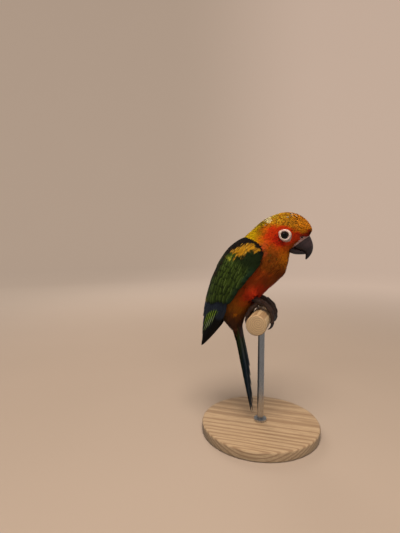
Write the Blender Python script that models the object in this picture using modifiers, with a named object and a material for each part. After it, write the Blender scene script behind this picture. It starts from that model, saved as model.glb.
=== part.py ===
"""A life-size young sun conure on a perch, with a plain display stand under it.  +X is where the
bird faces, +Y is its left and +Z is up, and the origin is the middle of the underside of the stand's
base.  Sizes are real, written in millimetres and turned into metres by MM."""

import math
import random

import bmesh
import bpy
import numpy as np
from mathutils import Matrix, Vector

MM = 0.001
GAP = 0.3 * MM  # kept between nodes that touch
RIGHT, LEFT = -1, 1  # which side of the sagittal plane, as the sign of Y

# Driving sizes of the stand.
BASE_RADIUS, BASE_THICKNESS, BASE_BEVEL = 55 * MM, 9 * MM, 1.6 * MM
ROD_RADIUS = 3 * MM
PERCH_RADIUS, PERCH_HALF_LENGTH, PERCH_HEIGHT = 9 * MM, 33 * MM, 108 * MM
PERCH_BEVEL = 1.2 * MM

# The body is one loft.  Each row is a section from tail root to forehead, in millimetres: the point
# on the back (x, z), the point on the belly (x, z), and half the width.
BODY = (
    (-26.2, 92.6, -18.5, 93.6, 8.0),
    (-30.8, 98.3, -17.8, 98.8, 9.5),
    (-36.8, 104.2, -16.5, 103.4, 11.0),
    (-40.6, 112.5, -15.5, 107.4, 12.6),
    (-44.0, 122.6, -12.2, 113.0, 15.2),
    (-44.7, 134.0, -7.0, 120.4, 18.0),
    (-42.0, 146.5, 0.4, 128.9, 20.4),
    (-38.0, 157.8, 7.8, 136.4, 22.0),
    (-32.2, 167.2, 14.8, 143.2, 22.4),
    (-25.6, 175.2, 20.6, 149.6, 21.3),
    (-17.6, 182.0, 22.9, 157.6, 19.4),
    (-8.9, 190.0, 24.3, 165.6, 17.4),
    (-0.6, 197.4, 24.9, 168.4, 16.4),
    (8.8, 202.1, 25.6, 170.2, 16.3),
    (19.5, 204.9, 26.6, 172.6, 16.2),
    (30.2, 203.2, 29.2, 175.6, 14.7),
    (38.4, 197.6, 33.8, 179.2, 11.6),
    (42.6, 191.4, 38.4, 182.0, 7.4),
    (43.3, 188.0, 41.2, 184.2, 2.6),
)
TAIL_CUT, NECK_CUT, HEAD_CUT = 2.2, 9.7, 11.5  # where the loft is parted, in rows
BODY_SIDES = 24
BODY_POWER = 2.15  # 2 is an ellipse, more is squarer

# The folded wing lies on a second loft, a little outside the body: each row has the point on the
# back (x, z), the half depth and half width of the section, and the angle at which the wing's front
# edge lies, in degrees round from the back.
WING = (
    (-10.8, 183.4, 24.0, 19.5, 72.0),
    (-19.4, 180.4, 27.0, 22.8, 90.0),
    (-30.6, 171.4, 29.0, 25.2, 98.0),
    (-39.6, 158.0, 28.2, 25.0, 105.0),
    (-46.9, 142.0, 25.6, 23.2, 109.0),
    (-51.4, 126.8, 21.6, 19.4, 107.0),
    (-54.2, 114.0, 16.4, 14.8, 110.0),
    (-57.0, 97.6, 9.4, 9.4, 118.0),
    (-60.4, 79.8, 3.0, 5.0, 120.0),
)
WING_SLOPE = (-31.0, -28.0, -26.0, -25.0, -24.0, -24.0, -26.0, -30.0, -34.0)  # of each section
WING_BACK_ANGLE = 17.0  # the wing's upper edge, round from the middle of the back
WING_CORE_END = 5.1  # in rows: the arm and hand that carry the feathers
WING_CORE_LIFT = 1.5 * MM  # outer face of that core above the wing's loft


def clear_scene():
    """Empty the scene of whatever Blender started with."""
    for thing in list(bpy.data.objects):
        bpy.data.objects.remove(thing)


def new_collection(name):
    made = bpy.data.collections.new(name)
    bpy.context.scene.collection.children.link(made)
    return made


def material(name, colour, roughness, metallic=0.0):
    made = bpy.data.materials.new(name)
    made.use_nodes = True
    shader = made.node_tree.nodes["Principled BSDF"]
    shader.inputs["Base Color"].default_value = (*colour, 1.0)
    shader.inputs["Roughness"].default_value = roughness
    shader.inputs["Metallic"].default_value = metallic
    return made


def new_object(name, mesh, collection):
    made = bpy.data.objects.new(name, mesh)
    collection.objects.link(made)
    return made


def smooth_rows(table, at):
    """A row of the table at a fractional index, on a curve through all the rows."""
    rows = np.asarray(table, float)
    last = len(rows) - 1
    at = min(max(at, 0.0), float(last))
    i = min(int(at), last - 1)
    t = at - i
    before, start, end, after = rows[max(i - 1, 0)], rows[i], rows[i + 1], rows[min(i + 2, last)]
    leave, arrive = (end - before) / 2, (after - start) / 2
    return (
        (2 * t**3 - 3 * t**2 + 1) * start
        + (t**3 - 2 * t**2 + t) * leave
        + (3 * t**2 - 2 * t**3) * end
        + (t**3 - t**2) * arrive
    )


def loft(name, rings, collection):
    """A closed mesh through rings of equally many points, with a flat cap at each end."""
    mesh = bpy.data.meshes.new(name)
    shape = bmesh.new()
    rows = [[shape.verts.new(point) for point in ring] for ring in rings]
    sides = len(rows[0])
    for lower, upper in zip(rows, rows[1:]):
        for j in range(sides):
            k = (j + 1) % sides
            shape.faces.new((lower[j], lower[k], upper[k], upper[j]))
    for row in (rows[0], rows[-1]):
        middle = shape.verts.new(sum((v.co for v in row), Vector()) / sides)
        for j in range(sides):
            shape.faces.new((row[j], row[(j + 1) % sides], middle))
    bmesh.ops.recalc_face_normals(shape, faces=shape.faces)
    bmesh.ops.triangulate(shape, faces=shape.faces)
    if shape.calc_volume(signed=True) < 0:
        bmesh.ops.reverse_faces(shape, faces=shape.faces)
    shape.to_mesh(mesh)
    shape.free()
    return new_object(name, mesh, collection)


def squared(angle, power):
    """Cosine and sine of an angle, on a superellipse of that power."""
    c, s = math.cos(angle), math.sin(angle)
    return (
        math.copysign(abs(c) ** (2 / power), c),
        math.copysign(abs(s) ** (2 / power), s),
    )


def section(back, belly, half_width, sides, power=2.0, grow=0.0, shift=0.0):
    """A ring of points between a point of the back and one of the belly, both in the XZ plane.
    It can be grown all round, and shifted along its own axis."""
    back, belly = Vector(back), Vector(belly)
    middle, across = (back + belly) / 2, belly - back
    half_depth = across.length / 2 + grow
    across.normalize()
    axis = across.cross(Vector((0, 1, 0)))
    ring = []
    for j in range(sides):
        c, s = squared(2 * math.pi * j / sides, power)
        point = middle - across * (half_depth * c) + Vector((0, (half_width + grow) * s, 0))
        ring.append(point + axis * shift)
    return ring


def body_section(at, grow=0.0, shift=0.0, sides=BODY_SIDES):
    back_x, back_z, belly_x, belly_z, width = (float(v) * MM for v in smooth_rows(BODY, at))
    return section(
        (back_x, 0, back_z), (belly_x, 0, belly_z), width, sides, BODY_POWER, grow, shift
    )


def body_length(name, start, end, steps, collection, grow=0.0, cut_start=0.0, cut_end=0.0):
    """A length of the body's loft, pulled back at its ends by the gap that a cut leaves."""
    rings = []
    for i in range(steps + 1):
        at = start + (end - start) * i / steps
        shift = cut_start if i == 0 else -cut_end if i == steps else 0.0
        rings.append(body_section(at, grow, shift))
    return loft(name, rings, collection)


def rows_loft(name, rows, sides, collection, power=2.0, grow=0.0, steps=1):
    """A loft through rows of (x, z, x, z, half width) in millimetres, as the body's are."""
    rings = []
    count = (len(rows) - 1) * steps
    for i in range(count + 1):
        a, b, c, d, width = (float(v) * MM for v in smooth_rows(rows, i / steps))
        rings.append(section((a, 0, b), (c, 0, d), width, sides, power, grow))
    return loft(name, rings, collection)


def limb(name, points, radii, collection, resolution=2):
    """A round limb through points, with a radius at each: a bevelled curve made into a mesh."""
    curve = bpy.data.curves.new(name, "CURVE")
    curve.dimensions = "3D"
    curve.bevel_depth = MM
    curve.bevel_resolution = resolution
    curve.use_fill_caps = True
    spline = curve.splines.new("POLY")
    spline.points.add(len(points) - 1)
    for knot, point, radius in zip(spline.points, points, radii):
        knot.co = (*point, 1.0)
        knot.radius = radius / MM
    guide = new_object(name, curve, collection)
    bpy.context.view_layer.update()
    graph = bpy.context.evaluated_depsgraph_get()
    mesh = bpy.data.meshes.new_from_object(guide.evaluated_get(graph))
    bpy.data.objects.remove(guide)
    shape = bmesh.new()
    shape.from_mesh(mesh)
    bmesh.ops.remove_doubles(shape, verts=shape.verts, dist=0.001 * MM)
    bmesh.ops.triangulate(shape, faces=shape.faces)
    bmesh.ops.recalc_face_normals(shape, faces=shape.faces)
    shape.to_mesh(mesh)
    shape.free()
    return new_object(name, mesh, collection)


def smooth_limb(name, points, radii, steps, collection, resolution=2):
    """The same, on a smooth curve through the points."""
    rows = [(*p, r) for p, r in zip(points, radii)]
    count = (len(rows) - 1) * steps
    found = [smooth_rows(rows, i / steps) for i in range(count + 1)]
    places = [[float(v) for v in f[:3]] for f in found]
    return limb(name, places, [float(f[3]) for f in found], collection, resolution)


def largest_surface(thing):
    """Keep only the largest closed surface of a mesh, which drops scraps and sealed hollows."""
    shape = bmesh.new()
    shape.from_mesh(thing.data)
    left = set(shape.faces)
    groups = []
    while left:
        group, edge_of = set(), [left.pop()]
        while edge_of:
            face = edge_of.pop()
            group.add(face)
            for edge in face.edges:
                for other in edge.link_faces:
                    if other in left:
                        left.discard(other)
                        edge_of.append(other)
        groups.append(group)
    groups.sort(key=lambda g: -sum(f.calc_area() for f in g))
    drop = [face for group in groups[1:] for face in group]
    bmesh.ops.delete(shape, geom=drop, context="FACES")
    bmesh.ops.triangulate(shape, faces=shape.faces)
    shape.to_mesh(thing.data)
    shape.free()


def boolean(thing, other, operation, solver="EXACT"):
    """Apply one Boolean to a mesh, with an object or a collection, and remove what was used."""
    modifier = thing.modifiers.new(operation.lower(), "BOOLEAN")
    modifier.operation = operation
    modifier.solver = solver
    if isinstance(other, bpy.types.Collection):
        modifier.operand_type = "COLLECTION"
        modifier.collection = other
        used = list(other.objects)
    else:
        modifier.object = other
        used = [other]
    bpy.context.view_layer.update()
    graph = bpy.context.evaluated_depsgraph_get()
    result = bpy.data.meshes.new_from_object(thing.evaluated_get(graph))
    thing.modifiers.clear()
    thing.data = result
    for helper in used:
        bpy.data.objects.remove(helper)
    if isinstance(other, bpy.types.Collection):
        bpy.data.collections.remove(other)


def mirrored(thing, name, collection):
    """A copy of a mesh on the other side of the sagittal plane."""
    mesh = thing.data.copy()
    mesh.transform(Matrix.Scale(-1, 4, Vector((0, 1, 0))))
    mesh.flip_normals()
    return new_object(name, mesh, collection)


def finish(thing, look, name=None):
    """Give a node its name, its material and smooth faces with sharp edges kept."""
    if name:
        thing.name = name
    thing.data.materials.clear()
    thing.data.materials.append(look)
    thing.data.shade_smooth()
    thing.data.set_sharp_from_angle(angle=math.radians(40))
    return thing


def vane(name, frames, half_width, thickness, outline, tilt, collection):
    """One feather: a thin closed blade along frames of (point, side, normal).  The outline scales
    its width, and the tilt lifts one edge over its neighbour's."""
    mesh = bpy.data.meshes.new(name)
    shape = bmesh.new()
    rows = []
    for (point, side, normal), share in zip(frames, outline):
        reach = side * (half_width * share) + normal * (tilt * share)
        lift = normal * (thickness / 2)
        corners = (point - reach + lift, point + reach + lift)
        corners += (point + reach - lift, point - reach - lift)
        rows.append([shape.verts.new(corner) for corner in corners])
    for a, b in zip(rows, rows[1:]):
        shape.faces.new((a[0], a[1], b[1]))  # the upper and lower face are split alike
        shape.faces.new((a[0], b[1], b[0]))
        shape.faces.new((a[3], b[2], a[2]))
        shape.faces.new((a[3], b[3], b[2]))
        shape.faces.new((a[1], a[2], b[2], b[1]))
        shape.faces.new((a[3], a[0], b[0], b[3]))
    shape.faces.new(rows[0][::-1])
    shape.faces.new(rows[-1])
    bmesh.ops.triangulate(shape, faces=[f for f in shape.faces if len(f.verts) > 3])
    bmesh.ops.recalc_face_normals(shape, faces=shape.faces)
    shape.to_mesh(mesh)
    shape.free()
    return new_object(name, mesh, collection)


def make_body(parts, looks):
    """Torso and neck, as lengths of the body's loft parted by thin cuts."""
    half = GAP / 2
    torso = body_length("torso", TAIL_CUT, NECK_CUT, 15, parts, 0.0, half, half)
    neck = body_length("neck", NECK_CUT, HEAD_CUT, 4, parts, 0.0, half, half)
    finish(torso, looks["breast"])
    finish(neck, looks["nape"])


# The head's own pieces.  The bill's base lies in one sloping plane, from the culmen to the gape.
EYE_PLACE = (21.0, 12.6, 184.5)
EYE_RADIUS = 4.8
BALL_SIDES, BALL_RINGS = 16, 10  # faces round and down each eyeball
LID_RING, LID_THICKNESS, LID_OUT = 4.5, 1.15, 15.5
LID_SIDES, LID_ROUND = 18, 6  # faces round the ring and round its thickness
CULMEN_BASE, GAPE = (41.6, 184.4), (25.6, 173.2)
CERE_DEPTH = 3.6
CERE_ROWS = (
    # distance behind the bill's base plane, and how far it stands out there
    (CERE_DEPTH, 0.1),
    (CERE_DEPTH * 0.45, 0.75),
    (0.9, 0.55),
    (0.0, 0.15),
)
UPPER_BILL = (
    (43.6, 180.4, 28.8, 171.9, 6.2),
    (44.5, 175.6, 32.0, 171.0, 5.6),
    (44.0, 171.2, 35.2, 170.2, 4.6),
    (42.6, 167.4, 37.6, 168.4, 3.3),
    (40.4, 164.4, 38.0, 165.6, 1.9),
    (38.5, 162.7, 37.8, 163.4, 0.7),
)
LOWER_BILL = (
    (23.2, 174.4, 22.4, 169.8, 4.4),
    (25.8, 172.9, 25.2, 168.4, 5.4),
    (29.0, 171.6, 28.9, 167.3, 5.3),
    (32.4, 170.7, 32.6, 167.2, 4.5),
    (35.2, 169.6, 35.6, 167.4, 3.2),
    (36.7, 168.7, 36.9, 167.9, 1.4),
)
NOSTRIL = (35.6, 182.5)
NOSTRIL_RADIUS, NOSTRIL_DEPTH, NOSTRIL_OUT = 0.95, 3.2, 6.4  # and how far out its bore's middle lies


def bill_base_row(shift, grow=0.0, half_width=6.5):
    """A section of the bill's base plane, shifted along its normal, in millimetres."""
    top, bottom = Vector(CULMEN_BASE), Vector(GAPE)
    along = (top - bottom).normalized()
    normal = Vector((along.y, -along.x))
    top, bottom = top + normal * shift + along * grow, bottom + normal * shift - along * grow
    return (top.x, top.y, bottom.x, bottom.y, half_width + grow)


def make_head(parts, looks):
    """Head with its eye sockets and lids, the cere with its nostrils, and the two halves of the bill."""
    gap = GAP / MM
    upper = (bill_base_row(gap), *UPPER_BILL)
    cere_rows = [bill_base_row(-behind, proud) for behind, proud in CERE_ROWS]
    head = body_length("head", HEAD_CUT, len(BODY) - 1, 15, parts, 0.0, GAP / 2)
    lids = new_collection("lids")
    for side in (RIGHT, LEFT):
        bpy.ops.mesh.primitive_torus_add(
            major_radius=LID_RING * MM,
            minor_radius=LID_THICKNESS * MM,
            major_segments=LID_SIDES,
            minor_segments=LID_ROUND,
            location=(EYE_PLACE[0] * MM, side * LID_OUT * MM, EYE_PLACE[2] * MM),
            rotation=(math.radians(90), 0, 0),
        )
        move_to(bpy.context.object, lids)
    boolean(head, lids, "UNION")
    eyes = []
    for side in (RIGHT, LEFT):
        place = Vector((EYE_PLACE[0], side * EYE_PLACE[1], EYE_PLACE[2])) * MM
        boolean(head, ball("socket", place, EYE_RADIUS * MM + GAP, parts), "DIFFERENCE")
        eyes.append(ball("eye", place, EYE_RADIUS * MM, parts))
    for rows in (cere_rows, upper, LOWER_BILL):
        cutter = rows_loft("cutter", rows, 16, parts, 2.0, GAP, 1)
        boolean(head, cutter, "DIFFERENCE")
    largest_surface(head)
    cere = rows_loft("cere", cere_rows, 20, parts, 2.0)
    for side in (RIGHT, LEFT):
        bpy.ops.mesh.primitive_cylinder_add(
            vertices=10,
            radius=NOSTRIL_RADIUS * MM,
            depth=NOSTRIL_DEPTH * MM,
            location=(NOSTRIL[0] * MM, side * NOSTRIL_OUT * MM, NOSTRIL[1] * MM),
            rotation=(math.radians(90), 0, 0),
        )
        boolean(cere, bpy.context.object, "DIFFERENCE")
    largest_surface(cere)
    bill = rows_loft("bill_upper", upper, 16, parts, 2.0, 0.0, 2)
    lower = rows_loft("bill_lower", LOWER_BILL, 12, parts, 2.2, 0.0, 2)
    boolean(lower, rows_loft("cutter", upper, 16, parts, 2.0, GAP, 2), "DIFFERENCE")
    boolean(lower, rows_loft("cutter", cere_rows, 20, parts, 2.0, GAP), "DIFFERENCE")
    largest_surface(lower)
    finish(head, looks["face"])
    finish(cere, looks["cere"])
    finish(bill, looks["bill"])
    finish(lower, looks["bill"], "bill_lower")
    finish(eyes[0], looks["eye"], "eye_right")
    finish(eyes[1], looks["eye"], "eye_left")


def move_to(thing, collection):
    for old in list(thing.users_collection):
        old.objects.unlink(thing)
    collection.objects.link(thing)
    return thing


def ball(name, place, radius, collection):
    bpy.ops.mesh.primitive_uv_sphere_add(
        radius=radius, location=place, segments=BALL_SIDES, ring_count=BALL_RINGS
    )
    made = move_to(bpy.context.object, collection)
    made.name = name
    made.data.transform(Matrix.Translation(made.location))
    made.location = (0, 0, 0)
    return made


def wing_frame(at, degrees, lift):
    """A point over the right wing's loft, and the outward normal there."""
    back_x, back_z, depth, width, _ = smooth_rows(WING, at)
    slope = math.radians(float(np.interp(at, range(len(WING)), WING_SLOPE)))
    across = Vector((math.cos(slope), 0, math.sin(slope)))
    middle = Vector((back_x, 0, back_z)) * MM + across * (depth * MM)
    c, s = math.cos(math.radians(degrees)), math.sin(math.radians(degrees))
    point = middle - across * ((depth * MM + lift) * c) + Vector((0, RIGHT, 0)) * (
        (width * MM + lift) * s
    )
    normal = (-across * (c / depth) + Vector((0, RIGHT, 0)) * (s / width)).normalized()
    return point, normal


def wing_edge(at):
    return float(smooth_rows(WING, at)[4])


def wing_core(collection):
    """The arm and hand: a curved slab on the wing's loft that carries the feathers."""
    rings = []
    steps, across = 9, 7
    for i in range(steps + 1):
        at = 0.05 + (WING_CORE_END - 0.05) * i / steps
        share = i / steps
        low, high = WING_BACK_ANGLE, wing_edge(at) - 2.0
        turns = [low + (high - low) * j / (across - 1) for j in range(across)]
        thin = 1.0 - 0.65 * share
        crown = [math.sin(math.pi * (0.12 + 0.76 * j / (across - 1))) for j in range(across)]
        outer = [wing_frame(at, t, WING_CORE_LIFT * thin * c) for t, c in zip(turns, crown)]
        inner = [wing_frame(at, t, (-1.2 - 1.4 * thin) * MM) for t in reversed(turns)]
        rings.append([f[0] for f in outer] + [f[0] for f in inner])
    return loft("wing_right", rings, collection)


def wing_feather(name, root, tip, width, lifts, outline, tilt, collection):
    """One feather of the right wing, from its root (row, degrees) to its tip.  The lifts are its
    heights over the wing's loft at its root, a quarter along and at its tip."""
    last = len(outline) - 1
    places = []
    for i in range(last + 1):
        t = i / last
        at = root[0] + (tip[0] - root[0]) * t
        turn = root[1] + (tip[1] - root[1]) * t
        lift = float(np.interp(t, (0.0, 0.25, 1.0), lifts)) * MM
        places.append(wing_frame(at, turn, lift))
    frames = []
    for i, (point, outward) in enumerate(places):
        along = places[min(i + 1, last)][0] - places[max(i - 1, 0)][0]
        side = outward.cross(along).normalized()
        frames.append((point, side, along.cross(side).normalized()))
    thickness = WING_VANE_THICKNESS * MM
    return vane(name, frames, width * MM / 2, thickness, outline, tilt * MM, collection)


WING_VANE_THICKNESS = 0.6
ROUND_TIP = (0.7, 1.0, 0.96, 0.42)  # widths along a feather, as shares of its width
LONG_TIP = (0.7, 1.0, 1.0, 0.3)
POINTED_TIP = (0.6, 1.0, 0.78, 0.2)
TIERS = (
    # name, count, root row, tip row, width, lifts at root, quarter and tip
    ("greater", 7, 3.6, 5.3, 8.2, (0.1, 0.9, 1.2)),
    ("median", 6, 2.8, 4.2, 9.4, (0.2, 1.3, 1.7)),
    ("lesser", 5, 1.9, 3.3, 10.6, (0.2, 1.4, 1.9)),
    ("marginal", 4, 0.9, 2.3, 11.4, (0.1, 1.3, 1.8)),
)
PRIMARIES, SECONDARIES = 7, 6


def make_wings(parts, looks):
    """Both wings: primaries lowest, then secondaries, and the coverts in four tiers over them,
    each tier overlapping the next like tiles."""
    chance = random.Random(11)
    wing = wing_core(parts)
    feathers = new_collection("wing_feathers")
    for i in range(PRIMARIES):  # the longest is in front, and makes the wing's tip
        t = i / (PRIMARIES - 1)
        root, tip = (4.5, 60 + 38 * t), (6.75 + 1.2 * t, 40 + 55 * t)
        lifts = (-0.6, -0.3 - 0.6 * t, -0.4 - 0.6 * t)
        wing_feather(f"primary_{i}", root, tip, 8.5, lifts, POINTED_TIP, -0.25, feathers)
    for i in range(SECONDARIES):
        t = i / (SECONDARIES - 1)
        turn = 24 + 52 * t
        root, tip = (4.4, turn), (6.5 - 0.1 * t + chance.uniform(-0.05, 0.05), turn)
        wing_feather(f"secondary_{i}", root, tip, 8.2, (-0.2, 0.3, 0.5), LONG_TIP, -0.4, feathers)
    for name, count, start, end, width, lifts in TIERS:
        front = wing_edge((start + end) / 2) - width
        for i in range(count):
            t = i / (count - 1)
            turn = 25 + (front - 25) * t
            tip = (end - 0.15 * t + chance.uniform(-0.06, 0.06), turn + 2)
            wing_feather(
                f"{name}_{i}", (start, turn), tip, width, lifts, ROUND_TIP, -0.45, feathers
            )
    boolean(wing, feathers, "UNION", "MANIFOLD")
    clearance = body_length("clearance", 0.0, 11.5, 20, parts, GAP * 1.3)
    boolean(wing, clearance, "DIFFERENCE", "MANIFOLD")
    largest_surface(wing)
    other = mirrored(wing, "wing_left", parts)
    finish(wing, looks["wing"], "wing_right")
    finish(other, looks["wing"], "wing_left")


# The tail hangs almost straight down from its root, with the longest pair in the middle.
TAIL_ROOT = (-24.6, 0.0, 104.0)
TAIL_LEAN = math.radians(12.0)  # forward of straight down
TAIL_LENGTHS = (89, 83, 75, 66, 57, 48)
TAIL_FEATHER_WIDTH = 8.6
TAIL_COVERT_WIDTH, TAIL_COVERT_ROOT, TAIL_COVERT_TIP = 8.0, 5.2, 4.2  # and spacings at root and tip
TAIL_VANE_THICKNESS = 0.55
TAIL_COVERTS = (
    # start below the tail's root, length, and height off the tail's plane at root and tip
    (-2.0, 20.0, 3.3, 2.9),
    (-6.0, 17.0, 4.3, 3.8),
)


def tail_feather(name, places, heights, start, length, width, outline, collection):
    """A straight feather of the tail: its sideways places and heights at root and tip."""
    down = Vector((math.sin(TAIL_LEAN), 0, -math.cos(TAIL_LEAN)))
    rear = Vector((-math.cos(TAIL_LEAN), 0, -math.sin(TAIL_LEAN)))
    frames = []
    for i in range(len(outline)):
        t = i / (len(outline) - 1)
        point = Vector(TAIL_ROOT) * MM + down * ((start + length * t) * MM)
        point += Vector((0, 1, 0)) * ((places[0] + (places[1] - places[0]) * t) * MM)
        point += rear * ((heights[0] + (heights[1] - heights[0]) * t) * MM)
        frames.append((point, Vector((0, 1, 0)), rear))
    thickness = TAIL_VANE_THICKNESS * MM
    vane(name, frames, width * MM / 2, thickness, outline, 0.0, collection)


def make_tail(parts, looks):
    """Twelve graduated feathers on the root, under and over short coverts."""
    tail = body_length("tail", 0.0, TAIL_CUT + 0.6, 6, parts)
    feathers = new_collection("tail_feathers")
    for k, length in enumerate(TAIL_LENGTHS):
        for side in (RIGHT, LEFT):
            height = 1.9 - 0.9 * k - 0.45 * (side if k == 0 else 1)
            place = 2.6 if k == 0 else 4.5 + 0.9 * (k - 1)
            tip = place * (0.55 if k == 0 else 0.95)
            tail_feather(
                f"tail_{k}_{side}", (side * place, side * tip), (height, height),
                -2.0, length + 2.0, TAIL_FEATHER_WIDTH, POINTED_TIP, feathers,
            )
    for row, (start, length, root, tip) in enumerate(TAIL_COVERTS):
        for i in (-1, 0, 1):
            for face, word in ((1, "over"), (-1, "under")):
                lower = 0 if face == 1 else 1.1  # the under side is a little fuller
                heights = (face * (root + lower), face * (tip + lower))
                places = (TAIL_COVERT_ROOT * i, TAIL_COVERT_TIP * i)
                tail_feather(
                    f"{word}_{row}_{i}", places, heights,
                    start, length, TAIL_COVERT_WIDTH, ROUND_TIP, feathers,
                )
    boolean(tail, feathers, "UNION", "MANIFOLD")
    body = body_length("clearance", TAIL_CUT, 9.0, 14, parts, GAP, -GAP / 2)
    boolean(tail, body, "DIFFERENCE", "MANIFOLD")
    largest_surface(tail)
    finish(tail, looks["tail"])


# Legs and feet.  Toes are set round the perch by their angle from its top, forward positive.
FOOT_SIDE = 9.6
THIGH = ((-13.0, 12.0, 142.0, 9.0), (-9.0, 12.4, 134.0, 8.4), (-5.6, 11.6, 128.2, 5.4))
TARSUS = ((-9.8, 128.6, 2.6), (-5.0, 126.4, 2.9), (0.2, 123.9, 3.3), (3.0, 122.0, 2.8))
TOES = (
    # number, first and last angle, first and last radius of the path, side at root and end
    (1, -14.0, -76.0, 13.8, 11.2, -1.6, -3.4),
    (2, 10.0, 76.0, 15.4, 11.5, -1.8, -4.2),
    (3, 10.0, 98.0, 15.8, 11.4, 2.0, 4.6),
    (4, -12.0, -94.0, 14.2, 11.3, 2.0, 4.4),
)
TOE_RADIUS, TOE_TIP_RADIUS, TOE_STEPS = 2.35, 1.6, 8
KNUCKLES, KNUCKLE_RISE = 3, 0.22  # bulges along a toe
CLAW_TURN = 34.0  # degrees round the perch that a claw takes
CLAW_STEPS, CLAW_RADIUS, CLAW_POINT = 5, 1.35, 0.18
CLAW_ARCH, CLAW_DIP, CLAW_SPREAD = 0.5, 1.2, 0.4  # its bow outwards, and its tip's way in and aside
CLAW_GAP = GAP * 1.6


def around_perch(degrees, radius, side_place):
    turn = math.radians(degrees)
    return (
        radius * MM * math.sin(turn),
        side_place * MM,
        PERCH_HEIGHT + radius * MM * math.cos(turn),
    )


def toe_path(toe, steps, side):
    _, first, last, out, end_out, root_side, end_side = toe
    points, radii = [], []
    for i in range(steps + 1):
        t = i / steps
        angle = first + (last - first) * t
        out_here = out + (end_out - out) * math.sin(t * math.pi / 2)
        across = side * (FOOT_SIDE + root_side + (end_side - root_side) * t)
        points.append(around_perch(angle, out_here, across))
        knuckle = KNUCKLE_RISE * math.cos(t * KNUCKLES * 2 * math.pi)
        radii.append((TOE_RADIUS + (TOE_TIP_RADIUS - TOE_RADIUS) * t + knuckle) * MM)
    return points, radii


def make_legs(parts, looks):
    """Feathered thigh, then tarsus and toes in one node, then a claw on each toe."""
    for side, word in ((RIGHT, "right"), (LEFT, "left")):
        knee = [(x * MM, side * y * MM, z * MM) for x, y, z, _ in THIGH]
        thigh = smooth_limb(f"leg_{word}", knee, [r * MM for *_, r in THIGH], 3, parts, 5)
        boolean(thigh, body_length("clearance", 0.0, 9.0, 18, parts, GAP), "DIFFERENCE")
        shank = [(x * MM, side * FOOT_SIDE * MM, z * MM) for x, z, _ in TARSUS]
        foot = smooth_limb(f"foot_{word}", shank, [r * MM for *_, r in TARSUS], 2, parts, 3)
        toes = new_collection("toes")
        for toe in TOES:
            points, radii = toe_path(toe, TOE_STEPS, side)
            limb(f"toe_{toe[0]}", points, radii, toes)
            end, start = Vector(points[-1]), Vector(points[-2])
            gap = (end - start).normalized() * CLAW_GAP
            turn = math.copysign(CLAW_TURN, toe[2])
            claw_points, claw_radii = [], []
            for i in range(CLAW_STEPS + 1):
                t = i / CLAW_STEPS
                out = toe[4] + CLAW_ARCH * math.sin(t * math.pi) - CLAW_DIP * t
                across = side * (FOOT_SIDE + toe[6] + CLAW_SPREAD * t)
                claw_points.append(Vector(around_perch(toe[2] + turn * t, out, across)) + gap)
                claw_radii.append((CLAW_RADIUS * (1 - t) ** 0.75 + CLAW_POINT) * MM)
            claw = limb(f"claw_{word}_{toe[0]}", claw_points, claw_radii, parts)
            finish(claw, looks["claw"])
        boolean(foot, toes, "UNION")
        boolean(foot, perch_shape("clearance", parts, GAP), "DIFFERENCE")
        largest_surface(foot)
        hollow = new_collection("hollow")
        wider = [r * MM + GAP for *_, r in TARSUS]
        smooth_limb("clearance", shank, wider, 2, hollow, 3)
        for toe in TOES:
            points, radii = toe_path(toe, TOE_STEPS, side)
            limb("clearance", points, [r + GAP for r in radii], hollow)
        boolean(bpy.data.objects["torso"], hollow, "DIFFERENCE")
        boolean(thigh, smooth_limb("clearance", shank, wider, 2, parts, 3), "DIFFERENCE")
        largest_surface(thigh)
        finish(thigh, looks["breast"])
        finish(foot, looks["foot"])


def perch_shape(name, collection, grow=0.0):
    bpy.ops.mesh.primitive_cylinder_add(
        vertices=32,
        radius=PERCH_RADIUS + grow,
        depth=2 * (PERCH_HALF_LENGTH + grow),
        location=(0, 0, PERCH_HEIGHT),
        rotation=(math.radians(90), 0, 0),
    )
    made = move_to(bpy.context.object, collection)
    made.name = name
    return made


def bevel(thing, width, segments):
    modifier = thing.modifiers.new("bevel", "BEVEL")
    modifier.width = width
    modifier.segments = segments
    modifier.limit_method = "ANGLE"
    modifier.angle_limit = math.radians(50)


def make_stand(parts, looks):
    """A round base, one rod, and a short length of round rail as the perch."""
    bpy.ops.mesh.primitive_cylinder_add(
        vertices=48,
        radius=BASE_RADIUS,
        depth=BASE_THICKNESS,
        location=(0, 0, BASE_THICKNESS / 2),
    )
    base = move_to(bpy.context.object, parts)
    base.name = "stand_base"
    bevel(base, BASE_BEVEL, 2)
    perch = perch_shape("stand_perch", parts)
    bevel(perch, PERCH_BEVEL, 2)
    low = BASE_THICKNESS + GAP
    high = PERCH_HEIGHT - PERCH_RADIUS - GAP
    bpy.ops.mesh.primitive_cylinder_add(
        vertices=20,
        radius=ROD_RADIUS,
        depth=high - low,
        location=(0, 0, (high + low) / 2),
    )
    rod = move_to(bpy.context.object, parts)
    rod.name = "stand_rod"
    finish(base, looks["base"])
    finish(perch, looks["perch"])
    finish(rod, looks["rod"])


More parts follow.
